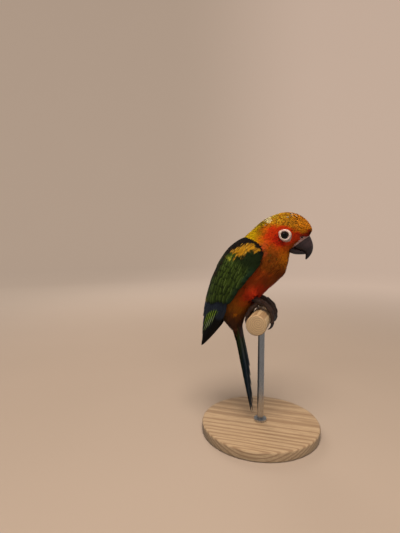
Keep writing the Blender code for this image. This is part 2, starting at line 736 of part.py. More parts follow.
def main():
    clear_scene()
    parts = new_collection("sun_conure")
    looks = {
        "face": material("face_feathers", (0.62, 0.13, 0.03), 0.7),
        "nape": material("nape_feathers", (0.62, 0.42, 0.05), 0.7),
        "breast": material("breast_feathers", (0.55, 0.24, 0.04), 0.7),
        "wing": material("wing_feathers", (0.06, 0.12, 0.04), 0.55),
        "tail": material("tail_feathers", (0.09, 0.10, 0.05), 0.55),
        "cere": material("cere_skin", (0.55, 0.42, 0.36), 0.5),
        "bill": material("bill_horn", (0.03, 0.025, 0.025), 0.35),
        "eye": material("eye", (0.02, 0.012, 0.008), 0.08),
        "foot": material("foot_scales", (0.07, 0.05, 0.045), 0.6),
        "claw": material("claw_horn", (0.02, 0.018, 0.016), 0.35),
        "base": material("base_wood", (0.35, 0.25, 0.17), 0.5),
        "perch": material("perch_wood", (0.45, 0.33, 0.22), 0.6),
        "rod": material("rod_steel", (0.55, 0.55, 0.56), 0.3, 1.0),
    }
    make_stand(parts, looks)
    make_body(parts, looks)
    make_head(parts, looks)
    make_wings(parts, looks)
    make_tail(parts, looks)
    make_legs(parts, looks)


main()
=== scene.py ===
import math

import bmesh
import bpy
import numpy as np
from mathutils import Matrix, Vector
from mathutils.bvhtree import BVHTree
from mathutils.kdtree import KDTree


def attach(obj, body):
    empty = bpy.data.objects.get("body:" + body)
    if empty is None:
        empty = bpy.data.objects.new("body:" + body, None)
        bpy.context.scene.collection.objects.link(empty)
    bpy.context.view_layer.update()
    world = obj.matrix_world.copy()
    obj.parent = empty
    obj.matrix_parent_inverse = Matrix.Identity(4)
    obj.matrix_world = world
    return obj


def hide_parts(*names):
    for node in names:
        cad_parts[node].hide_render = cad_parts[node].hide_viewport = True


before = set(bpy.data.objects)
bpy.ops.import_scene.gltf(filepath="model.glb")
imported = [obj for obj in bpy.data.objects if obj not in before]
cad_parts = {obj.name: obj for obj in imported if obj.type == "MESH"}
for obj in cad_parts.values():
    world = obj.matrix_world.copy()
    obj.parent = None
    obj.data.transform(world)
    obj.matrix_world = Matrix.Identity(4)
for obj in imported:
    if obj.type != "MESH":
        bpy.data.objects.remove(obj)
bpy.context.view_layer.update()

MM = 0.001  # shapes are worked out in millimetres and made in metres
SKIN_NODES = ("torso", "neck", "head", "leg_right", "leg_left")
SKIN_SWELL, SKIN_VOXEL = 0.45, 0.65
COAT_DEPTH_BODY, COAT_DEPTH_FACE = 1.5, 0.7
EYE_PLACE, EYE_RADIUS = (20.9, 12.6, 184.4), 4.8
SOCKET_REACH, SOCKET_DEPTH = 4.9, 3.0
NOSTRIL, NOSTRIL_RADIUS = (35.6, 182.5), 1.0
HOLLOW_FULL, HOLLOW_REACH, HOLLOW_DEPTH = 2.0, 2.9, 2.2  # of the skin round a nostril
SKIN_PAINTED_SHADE = 0.7  # share of the coat's colour that the skin has: painted shade between the feathers
BODY_GRID_STEP, SKIN_SMOOTHING = 0.1, 6
FACE_START, FACE_FULL = 11.5, 14.5  # in rows of the body's table
BODY = (
    # back x, z, belly x, z and half width of each section, from the tail's root to the forehead
    (-26.2, 92.6, -18.5, 93.6, 8.0),
    (-30.8, 98.3, -17.8, 98.8, 9.5),
    (-36.8, 104.2, -16.5, 103.4, 11.0),
    (-40.6, 112.5, -15.5, 107.4, 12.6),
    (-44.0, 122.6, -12.2, 113.0, 15.2),
    (-44.7, 134.0, -7.0, 120.4, 18.0),
    (-42.0, 146.5, 0.4, 128.9, 20.4),
    (-38.0, 157.8, 7.8, 136.4, 22.0),
    (-32.2, 167.2, 14.8, 143.2, 22.4),
    (-25.6, 175.2, 20.6, 149.6, 21.3),
    (-17.6, 182.0, 22.9, 157.6, 19.4),
    (-8.9, 190.0, 24.3, 165.6, 17.4),
    (-0.6, 197.4, 24.9, 168.4, 16.4),
    (8.8, 202.1, 25.6, 170.2, 16.3),
    (19.5, 204.9, 26.6, 172.6, 16.2),
    (30.2, 203.2, 29.2, 175.6, 14.7),
    (38.4, 197.6, 33.8, 179.2, 11.6),
    (42.6, 191.4, 38.4, 182.0, 7.4),
    (43.3, 188.0, 41.2, 184.2, 2.6),
)


def along_rows(table, at):
    """Rows of a table at fractional indices, on a curve through all its rows."""
    table = np.asarray(table, float)
    last = len(table) - 1
    at = np.clip(np.asarray(at, float), 0, last)
    i = np.minimum(at.astype(int), last - 1)
    t = (at - i)[..., None]
    before, start = table[np.maximum(i - 1, 0)], table[i]
    end, after = table[i + 1], table[np.minimum(i + 2, last)]
    leave, arrive = (end - before) / 2, (after - start) / 2
    return (
        (2 * t**3 - 3 * t**2 + 1) * start
        + (t**3 - 2 * t**2 + t) * leave
        + (3 * t**2 - 2 * t**3) * end
        + (t**3 - t**2) * arrive
    )


def rise(value, low, high):
    """A smooth rise from 0 at low to 1 at high."""
    t = np.clip((value - low) / (high - low), 0, 1)
    return t * t * (3 - 2 * t)


def unit(vectors):
    """The same directions, each of length 1."""
    return vectors / np.maximum(np.linalg.norm(vectors, axis=-1, keepdims=True), 1e-9)


def body_place(at, turn):
    """Points of the body's surface at rows, and at degrees round from the back to the right."""
    row = along_rows(BODY, at)
    back = np.stack((row[..., 0], 0 * row[..., 0], row[..., 1]), -1)
    belly = np.stack((row[..., 2], 0 * row[..., 0], row[..., 3]), -1)
    turn = np.radians(turn)[..., None]
    side = np.array((0.0, -1.0, 0.0)) * row[..., 4:5]
    return (back + belly) / 2 - (belly - back) / 2 * np.cos(turn) + side * np.sin(turn)


def link(name, mesh):
    """A new piece of a mesh."""
    made = bpy.data.objects.new(name, mesh)
    bpy.context.scene.collection.objects.link(made)
    return made


def merged(nodes, more=()):
    """One mesh of copies of solid nodes, with their loose triangles joined up."""
    shape = bmesh.new()
    for mesh in [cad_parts[node].data for node in nodes] + list(more):
        shape.from_mesh(mesh)
    bmesh.ops.remove_doubles(shape, verts=shape.verts, dist=0.002 * MM)
    mesh = bpy.data.meshes.new("merged")
    shape.to_mesh(mesh)
    shape.free()
    return mesh


def mesh_of(name, shape):
    """A mesh of a shape that is done, with its faces turned outwards."""
    bmesh.ops.recalc_face_normals(shape, faces=shape.faces)
    mesh = bpy.data.meshes.new(name)
    shape.to_mesh(mesh)
    shape.free()
    return mesh


def walls(shape, rings):
    """Faces of a shape from each ring of its corners to the next."""
    for a, b in zip(rings, rings[1:]):
        for j in range(len(a)):
            k = (j + 1) % len(a)
            shape.faces.new((a[j], a[k], b[k], b[j]))


def tail_root():
    """The body's last rows, over the root of the tail, as a closed mesh."""
    at, turn = np.meshgrid(np.linspace(0.0, 2.8, 12), np.arange(0.0, 360.0, 10.0), indexing="ij")
    shape = bmesh.new()
    rings = [[shape.verts.new(point * MM) for point in ring] for ring in body_place(at, turn)]
    walls(shape, rings)
    shape.faces.new(rings[0][::-1])
    shape.faces.new(rings[-1])
    return mesh_of("tail_root", shape)


def settle(thing):
    """Apply a piece's modifiers, and put its place into its mesh."""
    bpy.context.view_layer.update()
    graph = bpy.context.evaluated_depsgraph_get()
    mesh = bpy.data.meshes.new_from_object(thing.evaluated_get(graph))
    mesh.transform(thing.matrix_world)
    thing.modifiers.clear()
    thing.data = mesh
    thing.matrix_world = Matrix.Identity(4)


def remeshed(name, mesh, swell, voxel, smoothing):
    """A piece of one even surface round a mesh that is swelled first."""
    thing = link(name, mesh)
    displace = thing.modifiers.new("swell", "DISPLACE")
    displace.strength = swell * MM
    displace.mid_level = 0.0
    remesh = thing.modifiers.new("remesh", "REMESH")
    remesh.mode = "VOXEL"
    remesh.voxel_size = voxel * MM
    smooth = thing.modifiers.new("smooth", "SMOOTH")
    smooth.iterations = smoothing
    settle(thing)
    thing.data.shade_smooth()
    return thing


def read(mesh, what="co"):
    """An array of the places of a mesh's vertices, or of what else each has."""
    found = np.empty(len(mesh.vertices) * 3)
    mesh.vertices.foreach_get(what, found)
    return found.reshape(-1, 3)


def reshape(thing, points):
    """Give a piece's vertices their places, in millimetres."""
    thing.data.vertices.foreach_set("co", (points * MM).ravel())
    thing.data.update()


skin_shape = merged((*SKIN_NODES, "cere"), [tail_root()])
skin = remeshed("skin", skin_shape, SKIN_SWELL, SKIN_VOXEL, SKIN_SMOOTHING)
last_row = len(BODY) - 1
grid_rows = np.arange(0.0, last_row + 0.01, BODY_GRID_STEP)
grid_at, grid_turn = np.meshgrid(grid_rows, np.arange(-180.0, 180.0, 5.0))
grid_at, grid_turn = grid_at.ravel(), grid_turn.ravel()
grid_place = body_place(grid_at, grid_turn)
grid_lie = unit(body_place(grid_at - 0.25, grid_turn) - body_place(grid_at + 0.25, grid_turn))


def tree_of(points):
    """A tree in which the nearest of these points is found fast."""
    tree = KDTree(len(points))
    for index, point in enumerate(points):
        tree.insert(point, index)
    tree.balance()
    return tree


grid_tree = tree_of(grid_place)


def nearest(tree, points):
    """Index of, and distance to, the tree's nearest point from each point."""
    found = [tree.find(point) for point in points]
    return np.array([f[1] for f in found]), np.array([f[2] for f in found])


skin_index, _ = nearest(grid_tree, read(skin.data) / MM)
face_share = rise(grid_at[skin_index], FACE_START, FACE_FULL)
coat_depth = SKIN_SWELL + COAT_DEPTH_BODY + (COAT_DEPTH_FACE - COAT_DEPTH_BODY) * face_share
drawn_in = read(skin.data) - read(skin.data, "normal") * coat_depth[:, None] * MM
skin_mm = drawn_in / MM  # the coat grows from here, as if there were no sockets
eye_far = np.hypot(skin_mm[:, 0] - EYE_PLACE[0], skin_mm[:, 2] - EYE_PLACE[2])
socket = (1 - rise(eye_far, SOCKET_REACH - 0.8, SOCKET_REACH)) * rise(np.abs(skin_mm[:, 1]), 6.0, 9.0)
from_nostril = np.hypot(skin_mm[:, 0] - NOSTRIL[0], skin_mm[:, 2] - NOSTRIL[1])
hollow = (1 - rise(from_nostril, HOLLOW_FULL, HOLLOW_REACH)) * rise(np.abs(skin_mm[:, 1]), 1.5, 3.0)
drawn_in[:, 1] -= np.sign(drawn_in[:, 1]) * (socket * SOCKET_DEPTH + hollow * HOLLOW_DEPTH) * MM
skin.data.vertices.foreach_set("co", drawn_in.ravel())
skin.data.update()


def paint(red, green, blue):
    """A colour as it is seen on a screen, from 0 to 255, as the share of light it reflects."""
    seen = np.array((red, green, blue)) / 255
    return np.where(seen <= 0.04045, seen / 12.92, ((seen + 0.055) / 1.055) ** 2.4)


CROWN, FOREHEAD, SUNNY = paint(206, 134, 20), paint(222, 132, 22), paint(234, 190, 50)
FACE, FACE_FRONT_PAINTED_LIGHT, CRIMSON = paint(218, 58, 12), paint(246, 74, 26), paint(204, 34, 14)
LORE, CHEEK, NOSTRIL_PAINTED_SHADE = paint(204, 48, 26), paint(222, 96, 14), paint(34, 10, 8)
NAPE, NAPE_GREEN, NECK_SIDE = paint(206, 162, 8), paint(114, 88, 12), paint(222, 122, 8)
THROAT, NECK_BROWN_AND_SHADE, NECK_EDGE = paint(224, 124, 16), paint(128, 62, 8), paint(190, 74, 40)
BREAST, BREAST_LOW, RED_EDGE = paint(128, 58, 8), paint(160, 72, 10), paint(176, 66, 16)
BELLY, FLANK, VENT = paint(212, 56, 20), paint(152, 60, 14), paint(164, 90, 16)
MANTLE, RUMP, TAIL_BASE = paint(30, 28, 16), paint(96, 92, 28), paint(74, 40, 22)
PALE_LOCK, DARK_FLECK, OLIVE_FLECK = paint(250, 236, 180), paint(62, 42, 14), paint(74, 66, 20)
BORDER_STRAY = 2.2  # millimetres by which the borders of these colours wander


def spot(points, centre, radii, soft=0.35):
    """1 in an egg-shaped region of the bird, falling to 0 over its soft border."""
    far = np.linalg.norm((points - np.array(centre)) / np.array(radii), axis=-1)
    return 1 - rise(far, 1 - soft, 1 + soft)


def wander(points, size, seed):
    """Smooth variation between about -1 and 1 over lengths of that size."""
    chance = np.random.default_rng(seed)
    waves = unit(chance.normal(size=(9, 3))) * (chance.uniform(3.0, 9.0, (9, 1)) / size)
    return np.sin(points @ waves.T + chance.uniform(0, 7, 9)).mean(-1) * 2.2


def over(colour, share, paint_over):
    """Colours with a share of another laid over them."""
    return colour + (paint_over - colour) * np.clip(share, 0, 1)[..., None]


def layered(colour, layers):
    """Colours with each layer, given as its share and its colour, laid over them in turn."""
    for share, paint_over in layers:
        colour = over(colour, share, paint_over)
    return colour


def on_left(points):
    """The same places on the bird's left side."""
    return points * np.array((1, 0, 1)) + np.abs(points) * np.array((0, 1, 0))


def plumage(points):
    """Colours of the small feathers at points of the bird, the same on both sides."""
    points = on_left(points)
    shift = [wander(points, 14.0, 20 + i) + 0.6 * wander(points, 5.0, 30 + i) for i in range(3)]
    points = points + np.stack(shift, -1) * BORDER_STRAY
    x, y, z = points.T
    top = rise(z + 0.12 * x, 193.5, 197)
    green = spot(points, (-1, 5, 197), (8, 11, 4.5)) * (0.45 + 0.4 * wander(points, 3.0, 40))
    back = rise(171 - z - 0.55 * x, 0, 6) * rise(z + 0.9 * x, 60, 70) * rise(-x, 12, 22)
    rump = rise(-x, 30, 35) * rise(150 - z, 0, 18) * (1 - rise(114 - z, 0, 6))
    layers = (
        (rise(156 - z - 0.2 * x, -6, 14), BREAST_LOW),
        (spot(points, (-3, 18, 141), (12, 12, 14)), FLANK),
        (spot(points, (-3, 20, 149), (5, 7, 13)) * 0.8, RED_EDGE),
        (spot(points, (-4, 12, 130), (13, 14, 8)), BELLY),
        (spot(points, (4, 2, 132), (10, 9, 8)), BELLY),
        (rise(123 - z - 0.25 * x, 0, 8), VENT),
        (rise(114 - z + 0.1 * y, 0, 7), TAIL_BASE),
        (spot(points, (24, 0, 166), (13, 22, 10)), THROAT),
        (rise(z - 1.25 * x - 163, 0, 12) * rise(z, 168, 178), NECK_SIDE),
        (rise(z - 1.25 * x - 172, 0, 8) * rise(z, 168, 175), NAPE),
        (spot(points, (15, 15, 180), (18, 14, 13)), CHEEK),
        # painted shade that the head casts on the upper breast and the side of the neck
        (spot(points, (8, 16, 162), (11, 11, 13)) * 0.85, NECK_BROWN_AND_SHADE),
        (spot(points, (2, 19, 170), (3.5, 6, 8)) * 0.7, NECK_EDGE),
        (spot(points, (15.5, 16, 185.3), (15, 12, 9.6)), FACE),
        (spot(points, (29, 9, 184.5), (13, 9, 4.5)), FACE),
        # painted light: a brighter red where the front of the face turns from the lamps
        (spot(points, (29, 10, 181.5), (7.5, 9, 4.6)), FACE_FRONT_PAINTED_LIGHT),
        # painted shade inside the nostril
        (spot(points[:, ::2], NOSTRIL, (1.5, 1.5), 0.2), NOSTRIL_PAINTED_SHADE),
        (spot(points, (17, 16, 180), (6, 9, 3.5)) * 0.8, CRIMSON),
        (spot(points, (-1, 10, 188), (4, 8, 4)) * 0.6, NECK_BROWN_AND_SHADE),
        (top * rise(x, -4, 6), CROWN),
        (rise(z - 0.12 * np.abs(x - 36), 186.2, 187.8) * rise(x, 24, 31), FOREHEAD),
        (spot(points, (9, 4, 200.5), (6, 7, 2.5)) * 0.8, SUNNY),
        (green, NAPE_GREEN),
        (spot(points, (35.5, 7, 184.8), (6.5, 9, 1.9)), LORE),
        (back * rise(-0.75 * x + z - 173, 0, 5), MANTLE),
        (rump, RUMP),
    )
    # The ground colour is the breast's orange darkened by painted shade that the head casts; the lower breast
    # is lighter.
    return layered(np.broadcast_to(BREAST, points.shape), layers)


class Value:
    """A number, vector or colour that varies over a surface, for use in plain arithmetic."""

    def __init__(self, look, socket):
        self.look, self.socket = look, socket

    def __add__(self, other):
        return self.look.maths("ADD", self, other)

    def __sub__(self, other):
        return self.look.maths("SUBTRACT", self, other)

    def __rsub__(self, other):
        return self.look.maths("SUBTRACT", other, self)

    def __mul__(self, other):
        return self.look.maths("MULTIPLY", self, other)

    __radd__, __rmul__ = __add__, __mul__


class Look:
    """One finish, built from shader nodes by plain expressions."""

    def __init__(self, name, roughness=0.5, **constants):
        self.material = bpy.data.materials.new(name)
        self.material.use_nodes = True
        self.tree = self.material.node_tree
        self.surface = self.tree.nodes["Principled BSDF"]
        self.surface.inputs["Roughness"].default_value = roughness
        for socket, value in constants.items():
            self.feed(self.surface.inputs[socket.replace("_", " ")], value)

    def node(self, kind, settings=None, inputs=None, output=0):
        made = self.tree.nodes.new("ShaderNode" + kind)
        for setting, value in (settings or {}).items():
            setattr(made, setting, value)
        for socket, value in (inputs or {}).items():
            self.feed(made.inputs[socket], value)
        return Value(self, made.outputs[output])

    def feed(self, socket, value):
        if isinstance(value, Value):
            self.tree.links.new(value.socket, socket)
        elif socket.type == "RGBA":
            socket.default_value = (*value, 1.0)
        else:
            socket.default_value = value

    def maths(self, operation, a, b=0.0):
        return self.node("Math", {"operation": operation}, {0: a, 1: b})

    def vector(self, operation, a, b=(0.0, 0.0, 0.0), output=0):
        return self.node("VectorMath", {"operation": operation}, {0: a, 1: b}, output)

    def mix(self, share, a, b, way="MIX"):
        """Colour a, turning to b as the share grows."""
        return self.node("Mix", {"data_type": "RGBA", "blend_type": way}, {0: share, 6: a, 7: b}, 2)

    def parts(self, vector):
        outputs = self.node("SeparateXYZ", None, {0: vector}).socket.node.outputs
        return [Value(self, output) for output in outputs]

    def place(self, stretch=(1.0, 1.0, 1.0)):
        """The place on the object in millimetres, scaled along each axis."""
        scale = tuple(s / MM for s in stretch)
        return self.vector("MULTIPLY", self.node("TexCoord", output=3), scale)

    def attribute(self, name, output=0):
        return self.node("Attribute", {"attribute_name": name}, output=output)

    def noise(self, place, size, detail=3.0):
        """Noise about 0.5, over lengths of that size."""
        inputs = {"Vector": place, "Scale": 1 / size, "Detail": detail, "Roughness": 0.55}
        return self.node("TexNoise", None, inputs)

    def cells(self, place, size):
        """How far places are from the borders of cells of that size."""
        return self.node("TexVoronoi", {"feature": "DISTANCE_TO_EDGE"}, {"Vector": place, "Scale": 1 / size})

    def step(self, value, low, high, start=0.0, end=1.0):
        """A smooth rise from start to end as the value goes from low to high."""
        inputs = {0: value, 1: low, 2: high, 3: start, 4: end}
        return self.node("MapRange", {"interpolation_type": "SMOOTHSTEP"}, inputs)

    def finish(self, colour=None, roughness=None, height=None, depth=0.1):
        """Feed the surface: colour, roughness, and a bump of that depth in millimetres."""
        if colour is not None:
            self.feed(self.surface.inputs["Base Color"], colour)
        if roughness is not None:
            self.feed(self.surface.inputs["Roughness"], roughness)
        if height is not None:
            bump = self.node("Bump", None, {"Height": height, "Distance": depth * MM})
            self.feed(self.surface.inputs["Normal"], bump)
        return self.material


def tint(mesh, colours):
    """Give each vertex of a mesh its colour."""
    layer = mesh.color_attributes.new("tint", "FLOAT_COLOR", "POINT")
    layer.data.foreach_set("color", np.c_[colours, np.ones(len(colours))].ravel())


def made_of(thing, material, *nodes, slot):
    """Give a piece its finish, its body, and the solid nodes it stands for.  The slot is not used."""
    thing.data.materials.clear()
    thing.data.materials.append(material)
    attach(thing, "root")
    if nodes:
        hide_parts(*nodes)


# The skin has the coat's colours darkened: painted shade between the feathers.
tint(skin.data, plumage(read(skin.data) / MM) * SKIN_PAINTED_SHADE)
look = Look("skin_and_down", 0.85)
blotch = look.noise(look.place(), 1.4, 4.0)
down = look.mix(look.step(blotch, 0.35, 0.7, 0.0, 0.5), look.attribute("tint"), paint(74, 44, 20))
skin_finish = look.finish(down, None, look.noise(look.place(), 0.35), 0.25)
made_of(skin, skin_finish, *SKIN_NODES, slot="breast_feathers")


# Small feathers of the head, neck, breast, belly and thighs.  Each grows from the skin, lies back
# along the body and covers the roots of the next.  They are a thin curved vane each, with a
# fringed end, smallest round the bill and eyes, and are made as joined meshes from arrays.
THIGH_LIE, TAIL_LIE = (0.26, 0.0, -0.97), (0.30, 0.0, -0.95)
LOWEST_ROOT, HANGING = 0.45, 1.3  # rows where feathers start, and below which they hang over the tail
FEATHER_LENGTHS = (
    # row of the body's table, and length there
    (0.0, 12.0),
    (1.0, 10.5),
    (2.5, 8.0),
    (6.0, 7.2),
    (8.5, 6.2),
    (10.0, 5.0),
    (11.5, 3.9),
    (13.0, 3.0),
    (15.0, 2.5),
    (18.0, 1.9),
)
FACE_FEATHER = 1.75  # length beside the eye and the bill
SOFTNESS = 0.6  # share of the skin's own direction in the shading of the coat
FEATHER_SPACING, FEATHER_WIDTH = 0.18, 0.46  # shares of the length
SMALL_FEATHER = 3.0  # below this length a plainer vane does
CANDIDATES = 170000  # places tried for the roots
SPINE_STEPS = 5  # points of a feather's curve over the skin
OFF_BODY, THIGH_FEATHER = 3.2, 5.0  # how far off the body's table the thighs lie, and their feathers
PARTING_REACH, PARTING = 2.2, 0.8  # how far from the eye's ring feathers turn from it, and how much
PATCH = 0.003  # size of a feather's patch on the bake layout
FLECKS = (
    # middle and reach of each region, share of its feathers, and their colour
    ((20, 0, 203), (26, 9, 9), 0.38, DARK_FLECK),
    ((33, 0, 197), (12, 9, 8), 0.34, DARK_FLECK),
    ((12, 0, 201), (12, 9, 6), 0.16, SUNNY),
    ((-1, 0, 196.5), (9, 9, 5), 0.50, OLIVE_FLECK),
    ((7.8, 0, 198.2), (2.6, 9, 3.2), 0.5, PALE_LOCK),
    ((14, 0, 170), (16, 9, 12), 0.05, OLIVE_FLECK),
    ((-19, 0, 113), (7, 9, 4), 0.02, NECK_SIDE),
)
NOSTRIL_CLEARING = ((35.7, 182.5), (2.7, 2.1))  # middle and reach of bare cere round a nostril
TO_BILL, BILL_PLANE = np.array((0.603, 0.0, -0.797)), -122.0  # the cut where the bill leaves the cere
CERE_STRIP = 1.5  # breadth of the bare cere behind that cut

chance = np.random.default_rng(7)
skin.data.calc_loop_triangles()
skin_faces = np.empty(len(skin.data.loop_triangles) * 3, int)
skin.data.loop_triangles.foreach_get("vertices", skin_faces)
skin_faces = skin_faces.reshape(-1, 3)
skin_tree = BVHTree.FromPolygons(skin_mm.tolist(), skin_faces.tolist())


def feather_length(points, at):
    """Feather lengths at places on the skin, shorter towards the eye and the bill."""
    lengths = np.interp(at, *np.array(FEATHER_LENGTHS).T)
    side = on_left(points)
    near_eye = spot(side, (23.0, 14.0, 184.0), (13.0, 10.0, 10.0), 0.45)
    near_bill = spot(side, (34.0, 6.0, 182.0), (14.0, 12.0, 15.0), 0.4)
    return lengths + (FACE_FEATHER - lengths) * np.maximum(near_eye, near_bill)


def spaced_out(places, spacing, batch=2500):
    """Indices of places that keep their spacing from every one chosen before them."""
    chosen = np.empty(0, int)
    for start in range(0, len(places), batch):
        ids = np.arange(start, min(start + batch, len(places)))
        if len(chosen):
            _, far = nearest(tree_of(places[chosen]), places[ids])
            ids = ids[far > spacing[ids]]
        far = np.linalg.norm(places[ids][:, None] - places[ids][None], axis=-1)
        free = np.ones(len(ids), bool)
        for i in range(len(ids)):
            if free[i]:
                free[i + 1 :] &= far[i, i + 1 :] > spacing[ids[i]]
        chosen = np.r_[chosen, ids[free]]
    return chosen


def ring_reach(angle):
    """How far the bare ring reaches from the middle of the eye, at degrees up from forward."""
    angles = (-180, -125, -50, -15, 38, 88, 120, 146, 180)
    reaches = (4.5, 4.5, 6.7, 5.9, 5.4, 4.7, 4.9, 6.0, 4.5)
    return np.interp(angle, angles, reaches)


def cere_back(points):
    """How far behind the bare strip of the cere places are, in millimetres."""
    return BILL_PLANE - points @ TO_BILL - CERE_STRIP + 0.8 * rise(points[:, 2], 183.0, 184.5)


corners = skin_mm[skin_faces]
face_middle = corners.mean(1)
face_normal = np.cross(corners[:, 1] - corners[:, 0], corners[:, 2] - corners[:, 0])
face_area = np.linalg.norm(face_normal, axis=1) / 2
middle_index, _ = nearest(grid_tree, face_middle)
wanted = face_area / feather_length(face_middle, grid_at[middle_index]) ** 2
picked = chance.choice(len(skin_faces), CANDIDATES, p=wanted / wanted.sum())
share = chance.random((len(picked), 2))
share = np.where(share.sum(1, keepdims=True) > 1, 1 - share, share)
roots = corners[picked, 0] + (corners[picked, 1] - corners[picked, 0]) * share[:, :1]
roots = roots + (corners[picked, 2] - corners[picked, 0]) * share[:, 1:]
root_index, root_far = nearest(grid_tree, roots)
root_at, root_turn = grid_at[root_index], grid_turn[root_index]
on_thigh = (root_far > OFF_BODY) & (roots[:, 2] < 142) & (roots[:, 2] > 122) & (np.abs(roots[:, 1]) > 5)
eye_side = roots - np.array((EYE_PLACE[0], 0, EYE_PLACE[2]))
eye_angle = np.degrees(np.arctan2(eye_side[:, 2], eye_side[:, 0]))
in_ring = np.hypot(eye_side[:, 0], eye_side[:, 2]) < ring_reach(eye_angle) + 0.15
in_ring &= np.abs(roots[:, 1]) > 8
(clear_x, clear_z), (reach_x, reach_z) = NOSTRIL_CLEARING
near_nostril = np.hypot((roots[:, 0] - clear_x) / reach_x, (roots[:, 2] - clear_z) / reach_z) < 1
bare = ((root_far > OFF_BODY) & ~on_thigh) | in_ring | near_nostril | (root_at < LOWEST_ROOT)
bare |= (cere_back(roots) < 0) & (roots[:, 2] > 176)

# The folded wings cover the body, and no small feathers grow under them.
WING = (
    # back x, z, half depth, half width and front edge in degrees of each section, shoulder to tip
    (-10.8, 183.4, 24.0, 19.5, 46.0),
    (-19.4, 180.4, 27.0, 22.8, 76.0),
    (-30.6, 171.4, 29.0, 25.2, 91.0),
    (-39.6, 158.0, 28.2, 25.0, 99.0),
    (-46.9, 142.0, 25.6, 23.2, 99.0),
    (-51.4, 126.8, 21.6, 19.4, 96.0),
    (-54.2, 114.0, 16.4, 14.8, 104.0),
    (-57.0, 97.6, 9.4, 9.4, 118.0),
    (-60.4, 79.8, 3.0, 5.0, 120.0),
)
WING_SLOPE = (-31.0, -28.0, -26.0, -25.0, -24.0, -24.0, -26.0, -30.0, -34.0)  # of each section
WING_BACK_ANGLE = 17.0  # the wing's upper edge, round from the middle of the back


def wing_place(at, turn, lift):
    """Points over the right wing's surface, and the outward normals there."""
    row = along_rows(WING, at)
    slope = np.radians(np.interp(at, range(len(WING)), WING_SLOPE))
    across = np.stack((np.cos(slope), 0 * slope, np.sin(slope)), -1)
    out = np.array((0.0, -1.0, 0.0))
    depth, width = row[..., 2:3], row[..., 3:4]
    turn = np.radians(turn)[..., None]
    lift = np.asarray(lift, float)[..., None]
    middle = np.stack((row[..., 0], 0 * row[..., 0], row[..., 1]), -1) + across * depth
    point = middle - across * (depth + lift) * np.cos(turn) + out * (width + lift) * np.sin(turn)
    normal = unit(-across * np.cos(turn) / depth + out * np.sin(turn) / width)
    return point, normal


def wing_edge(at):
    """Degrees round at which the wing's front edge lies."""
    return along_rows(WING, at)[..., 4]


cover_at, cover_turn = np.meshgrid(np.arange(0.5, 5.6, 0.2), np.arange(24.0, 112.0, 4.0))
cover_at, cover_turn = cover_at.ravel(), cover_turn.ravel()
covered = cover_turn < wing_edge(cover_at) - 8.0
cover_place, cover_normal = wing_place(cover_at[covered], cover_turn[covered], 0 * cover_at[covered])
right_side = on_left(roots) * np.array((1, -1, 1))
cover_index, _ = nearest(tree_of(cover_place), right_side)
to_wing = right_side - cover_place[cover_index]
under = np.einsum("ij,ij->i", to_wing, cover_normal[cover_index])
aside = np.linalg.norm(to_wing - under[:, None] * cover_normal[cover_index], axis=1)
under_wing = (under < 0.5) & (under > -14.0) & (aside < 2.5)

keep = ~bare & ~under_wing
roots, root_at, root_turn, on_thigh = roots[keep], root_at[keep], root_turn[keep], on_thigh[keep]
root_lie = grid_lie[root_index[keep]]
lengths = feather_length(roots, root_at)
lengths[on_thigh] = THIGH_FEATHER
ids = spaced_out(roots, lengths * FEATHER_SPACING)
roots, root_at, root_turn, on_thigh = roots[ids], root_at[ids], root_turn[ids], on_thigh[ids]
root_lie, lengths = root_lie[ids], lengths[ids]
root_lie[on_thigh] = THIGH_LIE
to_eye = (np.array(EYE_PLACE) - roots) * np.array((1, 0, 1))
eye_far = np.linalg.norm(to_eye, axis=1)
to_eye, eye_angle = to_eye / eye_far[:, None], np.degrees(np.arctan2(-to_eye[:, 2], -to_eye[:, 0]))
beside_eye = 1 - rise(eye_far - ring_reach(eye_angle), 0.2, PARTING_REACH)
inward = beside_eye * np.maximum(0, np.einsum("ij,ij->i", root_lie, to_eye))
root_lie = unit(root_lie - PARTING * inward[:, None] * to_eye)
lengths = lengths * (1 - 0.45 * inward)


def vane_grid(columns, rows, tip):
    """A feather's outline: places across and along it for each vertex, and its triangles.  The
    vane is a grid up to the tip's share of its length, and then parts into tapered barbs."""
    widths = np.array((0.30, 0.74, 0.95, 1.0, 1.0))
    along = np.linspace(0, tip, rows)
    wide = np.interp(along, np.linspace(0, tip, len(widths)), widths)
    u = np.linspace(-1, 1, columns)
    places = [(a * w, b) for b, w in zip(along, wide) for a in u]
    faces = []
    for i in range(rows - 1):
        for j in range(columns - 1):
            k = i * columns + j
            faces += [(k, k + 1, k + columns + 1), (k, k + columns + 1, k + columns)]
    first = (rows - 1) * columns
    for j in range(columns - 1):
        middle, half = (u[j] + u[j + 1]) / 2, (u[j + 1] - u[j]) / 2
        reach = 1.0 - 0.22 * middle**2
        halfway = tip + (reach - tip) * 0.55
        k = len(places)
        places += [(middle * 1.04 - half * 0.55, halfway), (middle * 1.04 + half * 0.55, halfway)]
        places.append((middle, reach))
        faces += [(first + j, first + j + 1, k + 1), (first + j, k + 1, k), (k, k + 1, k + 2)]
    for side in (0, columns - 1):
        for i in range(1, rows - 1):
            low, high = i * columns + side, (i + 1) * columns + side
            places.append((u[side] * (wide[i + 1] + 0.20), along[i + 1] + 0.08))
            faces.append((low, high, len(places) - 1) if side == 0 else (high, low, len(places) - 1))
    return np.array(places), np.array(faces)[:, ::-1]


